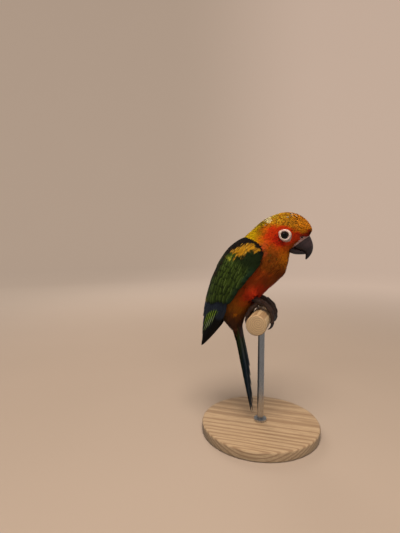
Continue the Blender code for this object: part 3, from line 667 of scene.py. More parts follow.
def piece_from(name, points, faces, colours, vane, patch, soft=None):
    """A mesh from arrays, in millimetres, with colours, places on the vane, bake places and, where
    given, the directions that its shading takes."""
    mesh = bpy.data.meshes.new(name)
    mesh.vertices.add(len(points))
    mesh.vertices.foreach_set("co", (points * MM).ravel())
    mesh.loops.add(faces.size)
    mesh.loops.foreach_set("vertex_index", faces.ravel())
    mesh.polygons.add(len(faces))
    mesh.polygons.foreach_set("loop_start", np.arange(0, faces.size, 3))
    mesh.update(calc_edges=True)
    for layer, values in (("OFBake", patch), ("vane", vane)):
        made = mesh.uv_layers.new(name=layer)
        made.data.foreach_set("uv", values[faces.ravel()].ravel())
    tint(mesh, colours)
    mesh.shade_smooth()
    if soft is not None:
        mesh.normals_split_custom_set_from_vertices(soft.tolist())
    return link(name, mesh)


def bake_place(at, turn, points, thigh):
    """Each root's place on an unwrap of the skin: round the body and along it, with the thighs
    beside them."""
    body = np.stack((0.04 + 0.36 * (turn / 180 + 1), 0.03 + 0.94 * at / last_row), -1)
    leg = np.stack((0.84 + 0.05 * (points[:, 0] / 20 + np.sign(points[:, 1]) + 1), points[:, 2] / 160), -1)
    return np.where(thigh[:, None], leg, body)


def grow(name, ids, columns, rows, material, slot):
    """Grow the feathers with these indices from the skin, as one piece."""
    count = len(ids)
    place, lie, length = roots[ids], root_lie[ids], lengths[ids] * chance.uniform(0.85, 1.2, count)
    width = lengths[ids] * FEATHER_WIDTH * chance.uniform(0.85, 1.15, count)
    yaw = chance.normal(0, 0.13, count)
    roll = chance.normal(0, 0.10, count)
    depth = COAT_DEPTH_BODY + (COAT_DEPTH_FACE - COAT_DEPTH_BODY) * rise(root_at[ids], FACE_START, FACE_FULL)
    top = depth * chance.uniform(0.62, 1.12, count)
    spine, normals = [], []
    hanging = (root_at[ids] < HANGING)[:, None]
    for k in range(SPINE_STEPS):
        hits = [skin_tree.find_nearest(point) for point in place]
        found = np.array([h[0] for h in hits])
        normal = np.array([h[1] for h in hits])
        if k > 0:
            found = np.where(hanging, place, found)
            normal = np.where(hanging, normals[0], normal)
            lie = np.where(hanging, lie * 0.75 + np.array(TAIL_LIE) * 0.25, lie)
        lie = unit(lie - np.einsum("ij,ij->i", lie, normal)[:, None] * normal)
        if k == 0:
            side = np.cross(normal, lie)
            lie = unit(lie * np.cos(yaw)[:, None] + side * np.sin(yaw)[:, None])
        lift = 0.12 + (top - 0.12) * rise(np.full(count, k / (SPINE_STEPS - 1)), -0.25, 0.95)
        spine.append(found + normal * lift[:, None])
        normals.append(normal)
        place = found + lie * (length / (SPINE_STEPS - 1))[:, None]
    spine, normals = np.stack(spine, 1), np.stack(normals, 1)
    places, faces = vane_grid(columns, rows, 0.42)
    jitter = chance.normal(0, 0.07, (count, len(places)))
    along = np.clip(places[:, 1] + jitter * (places[:, 1] > 0.6), 0, 1.15) * (SPINE_STEPS - 1)
    i = np.minimum(along.astype(int), SPINE_STEPS - 2)
    t = (along - i)[..., None]
    which = np.arange(count)[:, None]
    middle = spine[which, i] * (1 - t) + spine[which, i + 1] * t
    up = unit(normals[which, i] * (1 - t) + normals[which, i + 1] * t)
    ahead = unit(spine[which, i + 1] - spine[which, i])
    side = unit(np.cross(up, ahead))
    across = places[:, 0] * (width / 2)[:, None]
    ripple = 0.05 * np.cos(places[:, 0] * math.pi * (columns - 1))
    arch = -0.16 * places[:, 0] ** 2 * width[:, None] + across * roll[:, None] + ripple
    points = middle + side * across[..., None] + up * arch[..., None]
    starts, ends = spine[:, 0], spine[:, -1]
    shade = chance.uniform(0.88, 1.12, (count, 1, 1))
    hue = chance.normal(0, 0.05, (count, 1, 3))
    t = places[:, 1][None, :, None]
    colours = (plumage(starts)[:, None] * (1 - t) + plumage(ends)[:, None] * t) * shade
    # Each feather is darker towards its root: painted shade where the feathers above cover it.
    colours = np.clip(colours * (1 + hue) * (0.76 + 0.30 * t), 0, 1)
    for centre, radii, often, fleck_colour in FLECKS:
        chosen = chance.random(count) < often * spot(starts * (1, 0, 1), centre, radii)
        strong = chosen * chance.uniform(0.65, 1.0, count)
        colours = colours + (fleck_colour - colours) * strong[:, None, None] * rise(t, 0.25, 0.6)
    vane = np.stack((across, along * (length / (SPINE_STEPS - 1))[:, None]), -1)
    patch = bake_place(root_at[ids], root_turn[ids], starts, on_thigh[ids])[:, None]
    patch = patch + (places * np.array((0.5, 1.0)) - np.array((0.0, 0.5))) * PATCH
    faces = (faces[None] + (np.arange(count) * len(places))[:, None, None]).reshape(-1, 3)
    own = unit(np.cross(ahead, side))
    own = unit(own + side * (0.9 * places[:, 0])[None, :, None])
    soft = unit(own * (1 - SOFTNESS) + up * SOFTNESS)
    flat = [a.reshape(-1, a.shape[-1]) for a in (points, colours, vane, patch, soft)]
    made_of(piece_from(name, flat[0], faces, *flat[1:]), material, slot=slot)


def feather_finish(name, roughness, barb, contrast):
    """Barbs slant out from the shaft, and the light on them is soft.  The barb is their spacing."""
    look = Look(name, roughness, Specular_IOR_Level=0.16)
    across, along, _ = look.parts(look.node("UVMap", {"uv_map": "vane"}))
    slant = along - look.maths("ABSOLUTE", across) * 0.9
    stir = look.noise(look.place(), 1.6, 2.0) * 2.5
    barbs = look.maths("SINE", slant * (2 * math.pi / barb) + stir) * 0.5 + 0.5
    mottle = look.noise(look.place(), 0.8, 3.0)
    share = look.maths("MULTIPLY", look.step(barbs * 0.5 + mottle, 0.5, 1.1), contrast)
    colour = look.mix(share, look.attribute("tint"), (0.03, 0.02, 0.01), "MULTIPLY")
    return look.finish(colour, look.step(mottle, 0.2, 0.8, roughness - 0.1, roughness + 0.12), barbs, 0.05)


small_finish = feather_finish("small_feathers", 0.7, 0.34, 0.22)
groups = {
    "belly": (root_at < 5.6, "breast_feathers"),
    "breast": ((root_at >= 5.6) & (root_at < 9.7), "breast_feathers"),
    "neck": ((root_at >= 9.7) & (root_at < 12.2), "nape_feathers"),
    "head": (root_at >= 12.2, "face_feathers"),
}
for word, (within, slot) in groups.items():
    for side, sign in (("right", -1), ("left", 1)):
        here = within & (np.sign(roots[:, 1]) == sign)
        large = np.flatnonzero(here & (lengths >= SMALL_FEATHER))
        small = np.flatnonzero(here & (lengths < SMALL_FEATHER))
        if len(large):
            grow(f"coat_{word}_{side}", large, 9, 4, small_finish, slot)
        if len(small):
            grow(f"coat_fine_{word}_{side}", small, 6, 3, small_finish, slot)


# Pin feathers: new feathers of the moulting crown and nape, still rolled in pale waxy sheaths.  Each
# is a thin tapered tube that lies back between the small feathers.
PIN_GROUPS = (
    # middle x, half spread across, z and count of each group on one side
    (27.5, 7.0, 200.0, 6),
    (6.5, 9.5, 194.5, 4),
)
PIN_LENGTH, PIN_RADIUS, PIN_LIFT, PIN_SIDES = 2.8, 0.19, 0.42, 8
PIN_PROFILE = ((0.0, 0.55), (0.12, 0.9), (0.45, 1.0), (0.8, 0.8), (0.97, 0.4), (1.0, 0.08))

look = Look("waxy_sheath", 0.45, Subsurface_Weight=0.1, Subsurface_Scale=0.001)
along = look.attribute("tint", 2)
wax = look.mix(look.step(along, 0.35, 1.0), paint(224, 208, 192), paint(196, 110, 30))
flakes = look.noise(look.place(), 0.4)
wax = look.mix(look.step(flakes, 0.5, 0.7, 0.0, 0.5), wax, paint(190, 160, 140))
sheath_finish = look.finish(wax, None, flakes, 0.08)
points, faces, patch, shades = [], [], [], []
ring_angles = np.linspace(0, 2 * math.pi, PIN_SIDES, endpoint=False)
for x, across, z, count in PIN_GROUPS:
    for sign in (-1, 1):
        for pin in range(count):
            start = np.array((x, across, z)) + chance.normal(0, (2.6, 1.6, 0.8))
            start = on_left(start) * (1, sign, 1)
            place, normal = (np.array(v) for v in skin_tree.find_nearest(start)[:2])
            lie = grid_lie[nearest(grid_tree, [place])[0][0]] + chance.normal(0, 0.22, 3)
            lie = unit(lie - normal * (lie @ normal) + normal * 0.10)
            side = np.cross(normal, lie)
            length = PIN_LENGTH * chance.uniform(0.7, 1.15)
            first = len(points)
            for v, wide in PIN_PROFILE:
                middle = place + lie * length * v + normal * (PIN_LIFT + 0.25 * math.sin(v * math.pi))
                for a in ring_angles:
                    points.append(middle + (normal * math.cos(a) + side * math.sin(a)) * wide * PIN_RADIUS)
                    shades.append(v)
                    patch.append((0.5 + x / 400 + v * 0.003, 0.5 + sign * (0.1 + a / 2200)))
            for k in range(len(PIN_PROFILE) - 1):
                ring = first + k * PIN_SIDES
                for j in range(PIN_SIDES):
                    a, b = ring + j, ring + (j + 1) % PIN_SIDES
                    faces += [(a, b, b + PIN_SIDES), (a, b + PIN_SIDES, a + PIN_SIDES)]
patch, shades = np.array(patch), np.repeat(np.array(shades)[:, None], 3, 1)
pins = piece_from("pin_feathers", np.array(points), np.array(faces)[:, ::-1], shades, patch, patch)
made_of(pins, sheath_finish, slot="face_feathers")


# Eyes: wet balls set deep in the head, a dark brown iris round a black pupil, under a clear cornea.
# Only the part inside the lids shows.
IRIS_RADIUS, PUPIL_RADIUS, CORNEA_RISE = 3.3, 2.0, 0.35

look = Look("eye", 0.05, IOR=1.38)
x, _, z = look.parts(look.vector("SUBTRACT", look.place(), (EYE_PLACE[0], 0.0, EYE_PLACE[2])))
spin = look.maths("ARCTAN2", z, x)
far = look.maths("SQRT", x * x + z * z)
rays = look.noise(look.node("CombineXYZ", None, {0: spin * 3.0, 1: far * 0.4}), 0.5, 3.0)
iris = look.mix(look.step(rays, 0.3, 0.7), paint(20, 11, 7), paint(44, 26, 14))
iris = look.mix(look.step(far, IRIS_RADIUS - 0.5, IRIS_RADIUS), iris, paint(8, 5, 4))
in_iris = look.step(far, PUPIL_RADIUS - 0.1, PUPIL_RADIUS + 0.1)
eye_finish = look.finish(look.mix(in_iris, paint(2, 2, 2), iris))
for word, sign in (("right", -1), ("left", 1)):
    bpy.ops.object.select_all(action="DESELECT")
    bpy.ops.mesh.primitive_uv_sphere_add(segments=64, ring_count=40, radius=EYE_RADIUS * MM)
    eye = bpy.context.object
    eye.name = f"eyeball_{word}"
    points = read(eye.data) / MM
    outward = points[:, 2] / EYE_RADIUS
    points = points * (1 + CORNEA_RISE / EYE_RADIUS * rise(outward, 0.70, 0.9))[:, None]
    reshape(eye, points)
    eye.rotation_euler = (math.radians(90 * -sign), 0, 0)
    eye.location = (EYE_PLACE[0] * MM, sign * EYE_PLACE[1] * MM, EYE_PLACE[2] * MM)
    settle(eye)
    eye.data.shade_smooth()
    made_of(eye, eye_finish, f"eye_{word}", slot="eye")


# Bare rings round the eyes: white wrinkled skin that ends in the lids.  Each is one sheet, rolled
# over at the lid's edge and slipped under the face feathers at its outer edge.
LID_HALF_LENGTH, LID_HALF_HEIGHT = 3.2, 3.05
RING_SPOKES, RING_STEPS = 96, 24
RING_UNDER = 0.7  # how far the sheet goes on under the feathers

look = Look("bare_skin", 0.5, Subsurface_Weight=0.15, Subsurface_Scale=0.001)
place = look.place()
folds = look.noise(place, 0.9, 4.0)
grains = look.cells(look.place((1.0, 0.4, 1.0)), 0.32)
pale = look.mix(look.step(folds, 0.35, 0.7), paint(232, 206, 188), paint(196, 160, 144))
pale = look.mix(look.step(grains, 0.0, 0.16, 0.55, 0.0), pale, paint(150, 118, 112))
# The lid's edge turns dark brown: painted shade where it rolls in against the eye.
ring_finish = look.finish(look.mix(look.attribute("tint", 2), pale, paint(70, 52, 48)), None, grains, 0.10)


def ring_sheet(name, sign):
    """The bare ring of one eye, as a sheet from the lid's edge outwards."""
    angle = np.linspace(-180, 180, RING_SPOKES, endpoint=False)
    spoke = np.stack((np.cos(np.radians(angle)), np.sin(np.radians(angle))), -1)
    lid = 1 / np.hypot(spoke[:, 0] / LID_HALF_LENGTH, spoke[:, 1] / LID_HALF_HEIGHT)
    outer = np.mean([np.roll(ring_reach(angle), shift) for shift in range(-3, 4)], axis=0) + RING_UNDER
    ball = EYE_PLACE[1] + np.sqrt(EYE_RADIUS**2 - lid**2)  # how far out the eyeball is at the lid
    points, lip = [], []
    for k in range(RING_STEPS):
        t = k / (RING_STEPS - 1)
        reach = lid + (outer - lid) * max(0.0, t * 1.05 - 0.05)
        x, z = (np.array((EYE_PLACE[0], EYE_PLACE[2])) + spoke * np.maximum(reach, SOCKET_REACH)[:, None]).T
        hits = [skin_tree.ray_cast((a, sign * 40.0, b), (0, -sign, 0))[0] for a, b in zip(x, z)]
        skin_y = np.array([abs(hit.y) for hit in hits])
        skin_y = np.mean([np.roll(skin_y, shift) for shift in range(-4, 5)], axis=0)
        rim = ball + 0.15 + 0.5 * rise(t, 0.05, 0.3) - 0.8 * max(0.0, 0.04 - t) / 0.04
        outside = skin_y + 0.55 - 0.95 * rise(t, 0.72, 1.0) + 0.04 * math.cos(t * 30.0)
        y = rim + (outside - rim) * rise(t, 0.15, 0.8)
        x, z = EYE_PLACE[0] + spoke[:, 0] * reach, EYE_PLACE[2] + spoke[:, 1] * reach
        points.append(np.stack((x, sign * y, z), -1))
        # The lid's edge is painted dark: painted shade where it rolls in against the eye.
        lip.append(np.full(len(angle), 1.0 - rise(t, 0.04, 0.15)))
    faces = []
    for k in range(RING_STEPS - 1):
        for j in range(RING_SPOKES):
            a, b = k * RING_SPOKES + j, k * RING_SPOKES + (j + 1) % RING_SPOKES
            c, d = b + RING_SPOKES, a + RING_SPOKES
            faces.append((a, b, c, d) if sign > 0 else (b, a, d, c))
    mesh = bpy.data.meshes.new(name)
    mesh.from_pydata((np.concatenate(points) * MM).tolist(), [], faces)
    tint(mesh, np.repeat(np.concatenate(lip)[:, None], 3, 1))
    mesh.shade_smooth()
    return link(name, mesh)


for word, sign in (("right", -1), ("left", 1)):
    made_of(ring_sheet(f"eye_ring_{word}", sign), ring_finish, slot="cere_skin")


# Cere: the soft fleshy band at the root of the bill, pierced by the nostrils.  It is the solid's
# shape remeshed finely, swollen round the nostrils, and sunk under the feathers but for a strip.
CERE_VOXEL, BILL_VOXEL = 0.3, 0.24
FLESHY = ((35.2, 181.4), (3.4, 2.6))  # middle and reach of the swelling round each nostril
SWELLING, SET_BACK = 0.45, 0.9  # of the flesh, and of the bill's root under the forehead

look = Look("cere_skin", 0.5, Subsurface_Weight=0.12, Subsurface_Scale=0.001)
place = look.place()
blotch = look.noise(place, 1.4, 3.0)
flush = look.mix(look.step(blotch, 0.35, 0.65), paint(206, 170, 160), paint(168, 112, 100))
pores = look.cells(place, 0.45)
flush = look.mix(look.step(pores, 0.0, 0.15, 0.5, 0.0), flush, paint(140, 84, 74))
# The nostril is painted near black: painted shade inside it.
flush = look.mix(look.attribute("tint", 2), flush, paint(46, 14, 12))
cere = remeshed("cere_band", merged(["cere"]), 0.0, CERE_VOXEL, 2)
points, facing = read(cere.data) / MM, read(cere.data, "normal")
bulge = spot(points[:, ::2], *FLESHY, 0.6)
around = spot(points[:, ::2], *NOSTRIL_CLEARING, 0.3)
from_nostril = np.linalg.norm(points[:, ::2] - NOSTRIL, axis=1)
hole = 1 - rise(from_nostril, NOSTRIL_RADIUS * 0.7, NOSTRIL_RADIUS * 1.25)
hole = hole * rise(np.abs(points[:, 1]), 2.0, 3.0)
sunk = 1.5 * rise(cere_back(points) + 0.3 * wander(points, 2.2, 61), -0.3, 0.7) * (1 - around)
sunk = sunk + rise(points[:, 2], 183.4, 184.8)
to_bill = rise(facing @ TO_BILL, 0.2, 0.7)[:, None]  # its front goes on inside the bill
moved = points + facing * (SWELLING * bulge * (1 - hole) - sunk)[:, None] * (1 - to_bill)
moved = moved + TO_BILL * 0.9 * to_bill
moved[:, 0] -= SET_BACK * rise(points[:, 2], 170.0, 183.0)
reshape(cere, moved)
tint(cere.data, np.repeat(hole[:, None], 3, 1))
made_of(cere, look.finish(flush, None, pores, 0.12), "cere", slot="cere_skin")


# Bill: a hooked upper half that overhangs a scoop of a lower half, of dark horn over bone.  It
# grows from its base, which leaves faint bands across it, and wears to a polish at the tip.
look = Look("bill_horn", 0.4, Coat_Weight=0.08, Coat_Roughness=0.25)
place = look.place()
x, y, z = look.parts(place)
outward = x * 0.57 - z * 0.82
bands = look.noise(look.node("CombineXYZ", None, {0: outward * 1.1, 1: y * 0.12, 2: x * 0.05}), 1.0, 3.0)
grain = look.noise(look.place((1.6, 2.2, 0.35)), 0.9, 4.0)
horn = look.mix(look.step(bands, 0.35, 0.65), paint(56, 38, 38), paint(38, 26, 27))
# Darker towards the bottom: painted shade on the lower half, which faces away from the light.
horn = look.mix(look.step(z, 164.0, 178.0, 0.8, 0.0), horn, paint(24, 16, 16))
horn = look.mix(look.step(grain, 0.56, 0.78, 0.0, 0.4), horn, paint(92, 76, 74))
bill_finish = look.finish(horn, look.step(grain, 0.3, 0.7, 0.28, 0.50), bands + grain * 0.4, 0.12)
upper = remeshed("bill_upper_horn", merged(["bill_upper"]), 0.06, BILL_VOXEL, 4)
points = read(upper.data) / MM
points[:, 0] -= SET_BACK * rise(points[:, 2], 170.0, 183.0)
reshape(upper, points)
made_of(upper, bill_finish, "bill_upper", slot="bill_horn")
lower = remeshed("bill_lower_horn", merged(["bill_lower"]), 0.06, BILL_VOXEL, 4)
points = read(lower.data) / MM
shut = np.zeros_like(points)  # its rim goes up inside the upper half, so no light shows between them
shut[:, 2] = rise(read(lower.data, "normal")[:, 2], 0.0, 0.5)
shut[:, 0] = 1.5 * rise(points[:, 0], 31.0, 36.9)
reshape(lower, points + shut)
made_of(lower, bill_finish, "bill_lower", slot="bill_horn")


# Wings.  A curved slab, the folded arm, carries the long flight feathers.  Coverts lie over their
# roots in tiers up to the shoulder, each over the roots of the one below.  Each feather is a thin
# closed blade with a raised shaft, bent to the folded wing's curve.
WING_GREEN, WING_DEEP, WING_LIME = paint(54, 68, 16), paint(24, 34, 8), paint(94, 108, 50)
WING_TEAL, WING_SLATE, WING_BLACK = paint(26, 48, 32), paint(44, 50, 62), paint(16, 11, 8)
WING_YELLOW, WING_BROWN, STRIPE = paint(176, 120, 18), paint(60, 36, 14), paint(150, 184, 52)
WING_GOLD, WING_OLIVE = paint(224, 172, 60), paint(164, 160, 44)
FRAY, LOW_RIM = paint(150, 158, 126), paint(122, 110, 22)
BLADE_THICKNESS, ARM_BLADES = 0.10, 12  # the arm is as thick as that many feathers
YELLOW_PATCH = (
    # corners, as row and degrees on the wing
    (1.90, 34), (1.60, 45), (1.40, 49), (1.15, 49), (0.80, 51), (0.60, 56), (0.72, 66),
    (0.82, 74), (1.05, 82), (1.20, 78), (1.12, 74), (1.20, 68), (1.32, 70), (1.42, 66),
    (1.60, 66), (1.90, 66), (2.22, 62), (2.05, 53), (2.10, 43),
)
YELLOW_LOBE = ((2.36, 34), (2.22, 42), (2.20, 50), (2.42, 51), (2.48, 42))
ROW_MM, DEGREE_MM = 13.0, 0.42  # rough lengths of a row and of a degree
COVERT_TIPS = (
    # row of the wing's table where each tier ends
    5.40, 4.70, 4.12, 3.62, 3.20, 2.84, 2.54, 2.28, 2.05, 1.84, 1.64, 1.45, 1.27, 1.1, 0.94, 0.78, 0.62, 0.46,
)
COVERT_ROWS, FLIGHT_ROWS = 11, 26  # points along each feather
PRIMARY_EDGES = (48, 55, 62, 69, 76, 83, 90, 97, 104, 110)  # degrees where their front edges lie
SECONDARIES, TERTIALS = 10, 3


def inside(at, turn, corners):
    """How far within an outline on the wing each place lies, in millimetres, less than 0 outside."""
    scale = np.array((ROW_MM, DEGREE_MM))
    place = np.stack((at, turn), -1) * scale
    corners = np.array(corners) * scale
    far, within = np.full(at.shape, 99.0), np.zeros(at.shape, bool)
    for start, end in zip(corners, np.roll(corners, -1, axis=0)):
        way, to_place = end - start, place - start
        share = np.clip(to_place @ way / (way @ way), 0, 1)
        far = np.minimum(far, np.linalg.norm(to_place - share[..., None] * way, axis=-1))
        crosses = (start[1] > place[..., 1]) != (end[1] > place[..., 1])
        rise_here = np.where(crosses, (place[..., 1] - start[1]) / (way[1] if way[1] else 1.0), 0)
        within ^= crosses & (place[..., 0] < start[0] + rise_here * way[0])
    return np.where(within, far, -far)


def blades(name, grid, up, colours, vane, material, slot, nodes=()):
    """Closed blades from grids of points: feather, row along it, column across it."""
    count, rows, columns, _ = grid.shape
    top = grid + up * (BLADE_THICKNESS / 2)
    bottom = grid - up * (BLADE_THICKNESS / 2)
    points = np.stack((top, bottom), 1)
    size = rows * columns
    faces = []
    for i in range(rows - 1):
        for j in range(columns - 1):
            a, b = i * columns + j, i * columns + j + 1
            c, d = b + columns, a + columns
            faces += [(a, b, c), (a, c, d), (b + size, a + size, c + size), (c + size, a + size, d + size)]
    ring = list(range(columns)) + [i * columns + columns - 1 for i in range(1, rows)]
    ring += [(rows - 1) * columns + j for j in range(columns - 2, -1, -1)]
    ring += [i * columns for i in range(rows - 2, 0, -1)]
    for a, b in zip(ring, ring[1:] + ring[:1]):
        faces += [(b, a, a + size), (b, a + size, b + size)]
    faces = np.array(faces)
    a, b, c = (points[0].reshape(-1, 3)[faces[0, i]] for i in range(3))
    if np.dot(np.cross(b - a, c - a), up[0, 0, 0]) < 0:
        faces = faces[:, ::-1]
    faces = (faces[None] + (np.arange(count) * 2 * size)[:, None, None]).reshape(-1, 3)
    cells = math.ceil(math.sqrt(count))
    cell = np.stack((np.arange(count) % cells, np.arange(count) // cells), -1)[:, None, None, None]
    inner = np.stack(np.meshgrid(np.linspace(0, 1, rows), np.linspace(0, 1, columns), indexing="ij"), -1)
    inner = inner[..., ::-1]
    patch = np.stack((inner * (0.52, 0.9) + (0.04, 0.05), inner * (0.32, 0.9) + (0.62, 0.05)))
    patch = (patch[None] + cell) / cells
    both = [np.stack((a, a), 1).reshape(-1, a.shape[-1]) for a in (colours, vane)]
    piece = piece_from(name, points.reshape(-1, 3), faces, *both, patch.reshape(-1, 2))
    made_of(piece, material, *nodes, slot=slot)


SHAFT_COLUMNS = np.array((-1.0, -0.82, -0.72, -0.4, -0.08, 0.0, 0.08, 0.4, 0.72, 0.82, 1.0))
SHAFT_RISE = 0.14


def outline(kind, v):
    """Half width along a feather, as a share: rounded, long or pointed at its end."""
    start = 0.45 + 0.55 * rise(v, 0.0, 0.22)
    rounding = {"round": 0.62, "long": 0.86, "pointed": 0.60}[kind]
    past = np.clip((v - rounding) / (1 - rounding), 0, 1)
    power = {"round": 2.0, "long": 2.2, "pointed": 1.5}[kind]
    return start * np.sqrt(np.maximum(1 - past**power, 0)) * 0.97 + 0.03


def wing_paint(kind, at, turn, u, v):
    """Colours over the wing's feathers, by their place on the wing and on the feather."""
    count = len(at)
    place = np.stack((at * 12, turn * 0.4, 0 * at), -1)
    stray = wander(place, 9.0, 51) * 0.10 + wander(place, 3.5, 52) * 0.06
    row, side = at + stray, turn + stray * 40
    own = chance.normal(0, 1, (count, 1, 1))
    if kind == "flight":
        ground = WING_SLATE
        top = np.interp(turn, (46, 52, 60, 70, 78), (6.25, 5.95, 5.7, 5.4, 5.3))
        striped = rise(at - top, 0.0, 0.15) * rise(turn, 43, 47) * (1 - rise(turn, 78, 84))
        along = at - (75 - turn) * 0.043
        line = striped * rise(u, 0.76, 0.85) * (1 - rise(along, 6.4, 6.8))
        layers = (
            (rise(row, 5.75, 6.1) * rise(side, 76, 84), WING_BLACK),
            (striped, WING_BLACK),
            (rise(row, 6.9, 7.2), WING_BLACK),
            (line, STRIPE),
            (line * rise(along, 5.8, 6.1) * 0.9, FRAY),
            (rise(26 - turn, 0, 4) * rise(own, 0.2, 0.6) * rise(v, 0.7, 0.9) * 0.5, FRAY),
        )
    else:
        ground = WING_GREEN
        deep = rise(2.9 - row, 0, 0.9) * rise(side, 48, 62)
        teal = rise(side, 84, 98) * rise(row, 1.9, 2.6)
        lobe = rise(inside(at, turn, YELLOW_LOBE) + stray * 4 + 0.6 * own, -0.1, 0.5)
        yellow = inside(at, turn, YELLOW_PATCH) - 1.2 * rise(at, 1.5, 1.9)
        yellow = rise(yellow + stray * 6 + 1.25 * own, -0.4, 0.4)
        shoulder = np.interp(at, (0, 0.5, 0.8, 1.6, 2.4), (110, 58, 54, 48, 36))
        front = np.interp(at, (0.3, 0.75, 1.0, 1.25, 1.8), (47, 69, 76, 85, 96))
        line = rise(turn - front, 0, 4) * (1 - 0.85 * rise(at, 0.9, 1.35))
        black = np.maximum(rise(2.5 - at + stray, 0, 0.5) * rise(shoulder - turn, -2, 5), line)
        margin = rise(np.abs(u), 0.45, 0.8) * rise(-np.sign(u) * own, -0.6, 0.4)
        back = rise(np.interp(at, (1.5, 3.0, 5.0), (44, 40, 30)) - turn + stray * 30, -3, 6)
        back = back * (1 - rise(row, 5.0, 5.4)) * (1 - yellow)
        field = (1 - black) * (1 - yellow) * (1 - back) * (1 - deep) * (1 - 0.5 * teal) * rise(row, 1.9, 2.5)
        # pale free edge of each feather: painted highlight
        edge = rise(-u, 0.70, 0.82) * rise(v, 0.35, 0.6)
        layers = (
            (deep, WING_DEEP),
            (teal, WING_TEAL),
            (black, WING_BLACK),
            (black * rise(v, 0.72, 0.95) * rise(own, -0.5, 0.5) * 0.7, WING_BROWN),
            (yellow, WING_YELLOW),
            (yellow * rise(v, 0.7, 0.95) * rise(own, -0.4, 0.6) * 0.7, WING_GOLD),
            (lobe, WING_OLIVE),
            # Dark halves and margins of the yellow feathers: painted shade in the gaps between them.
            (yellow * rise(u, -0.4, 0.1) * rise(-own, 0.3, 0.8) * 0.8, WING_BROWN),
            (yellow * margin * 0.75, WING_BROWN),
            (back * (0.6 + 0.3 * rise(own, -0.5, 0.5)), WING_BLACK),
            (back * rise(v, 0.8, 0.95) * rise(own, 0.0, 0.8) * 0.6, WING_BROWN),
            # Each green covert's free edge is paler and its covered side darker: painted highlight and
            # painted shade of the overlap.
            (field * edge * (0.6 + 0.3 * own), WING_LIME),
            (field * rise(u, -0.45, 0.05) * 0.75, WING_DEEP),
            (rise(row, 5.0, 5.3) * rise(44 - side, 0, 12) * 0.8, LOW_RIM),
        )
    colour = layered(np.broadcast_to(ground, (*at.shape, 3)), layers)
    shade = chance.uniform(0.78, 1.2, (count, 1, 1, 1))
    # Each feather is darker towards its root: painted shade where the tier above covers it.
    return np.clip(colour * shade * (0.75 + 0.3 * v[..., None]), 0, 1)


def wing_feathers(kind, root, tip, width, lifts, tilt, arch, form, rows):
    """Places, outward directions, colours and vane places of feathers of the right wing, given
    arrays of roots and tips as (row, degrees), widths, and lifts at the root, a quarter along and
    at the tip."""
    count = len(root)
    v = np.linspace(0, 1, rows)[None, :, None]
    u = SHAFT_COLUMNS[None, None, :]
    at = root[:, 0, None, None] + (tip - root)[:, 0, None, None] * v
    turn = root[:, 1, None, None] + (tip - root)[:, 1, None, None] * v
    row = along_rows(WING, at)
    angle = np.radians(turn)
    radius = np.hypot(row[..., 2] * np.sin(angle), row[..., 3] * np.cos(angle))
    ragged = 1 + chance.normal(0, 0.035, (count, rows, len(SHAFT_COLUMNS))) * (np.abs(u) > 0.9)
    share = outline(form, v)
    reach = u * share * ragged * width[:, None, None] / 2
    lift = np.interp(v[0, :, 0], (0.0, 0.25, 1.0), (0, 1, 2))[None, :, None]
    low, high, last = lifts.T[:, :, None, None]
    lift = np.where(lift < 1, low + (high - low) * lift, high + (last - high) * (lift - 1))
    lift = lift + tilt * u * share - arch * width[:, None, None] * u**2 * share
    lift = lift + SHAFT_RISE * (1 - v) * np.exp(-((u / 0.06) ** 2))
    turn = turn + np.degrees(reach / radius)
    point, normal = wing_place(at, turn, lift)
    at, u, v = at + 0 * turn, u + 0 * turn, v + 0 * turn
    vane = np.stack((reach, (at - root[:, 0, None, None]) * ROW_MM), -1)
    return point, normal, wing_paint(kind, at, turn, u, v), vane


wing_finish = feather_finish("wing_feathers", 0.52, 0.55, 0.30)
look = Look("wing_skin", 0.8)
under_finish = look.finish(look.mix(look.noise(look.place(), 2.0), paint(30, 34, 20), paint(60, 52, 28)))
chance = np.random.default_rng(19)
coverts, flights = [], []
for tier, tip_row in enumerate(COVERT_TIPS):
    share = tier / (len(COVERT_TIPS) - 1)
    width = 5.6 - 2.4 * share**0.8
    long = 1.7 if tier == 0 else 1.45 - 0.7 * share
    front = float(wing_edge(tip_row - 0.3)) - 3.0
    slope_down = 1.15 * (1 - share) ** 3
    turns = np.arange(WING_BACK_ANGLE + 5 + (tier % 2) * 3.2, front, math.degrees(width * 0.56 / 24.0))
    turns = turns + chance.normal(0, 0.7, len(turns))
    ends = tip_row + 0.1 - slope_down * (turns - 20) / 90 + chance.normal(0, 0.06, len(turns))
    root = np.stack((np.maximum(ends - long, 0.02), turns), -1)
    tip = np.stack((ends, turns + 2.0), -1)
    high = 1.25 + 0.7 * min(1, tier / 5) - 0.45 * max(0.0, share - 0.6) / 0.4
    lifts = (0.2 + 0 * turns, high * 0.7 + 0 * turns, high + chance.normal(0, 0.06, len(turns)))
    widths = width * chance.uniform(0.92, 1.12, len(turns))
    lifts = np.stack(lifts, -1)
    coverts.append(wing_feathers("covert", root, tip, widths, lifts, -0.40, 0.03, "round", COVERT_ROWS))

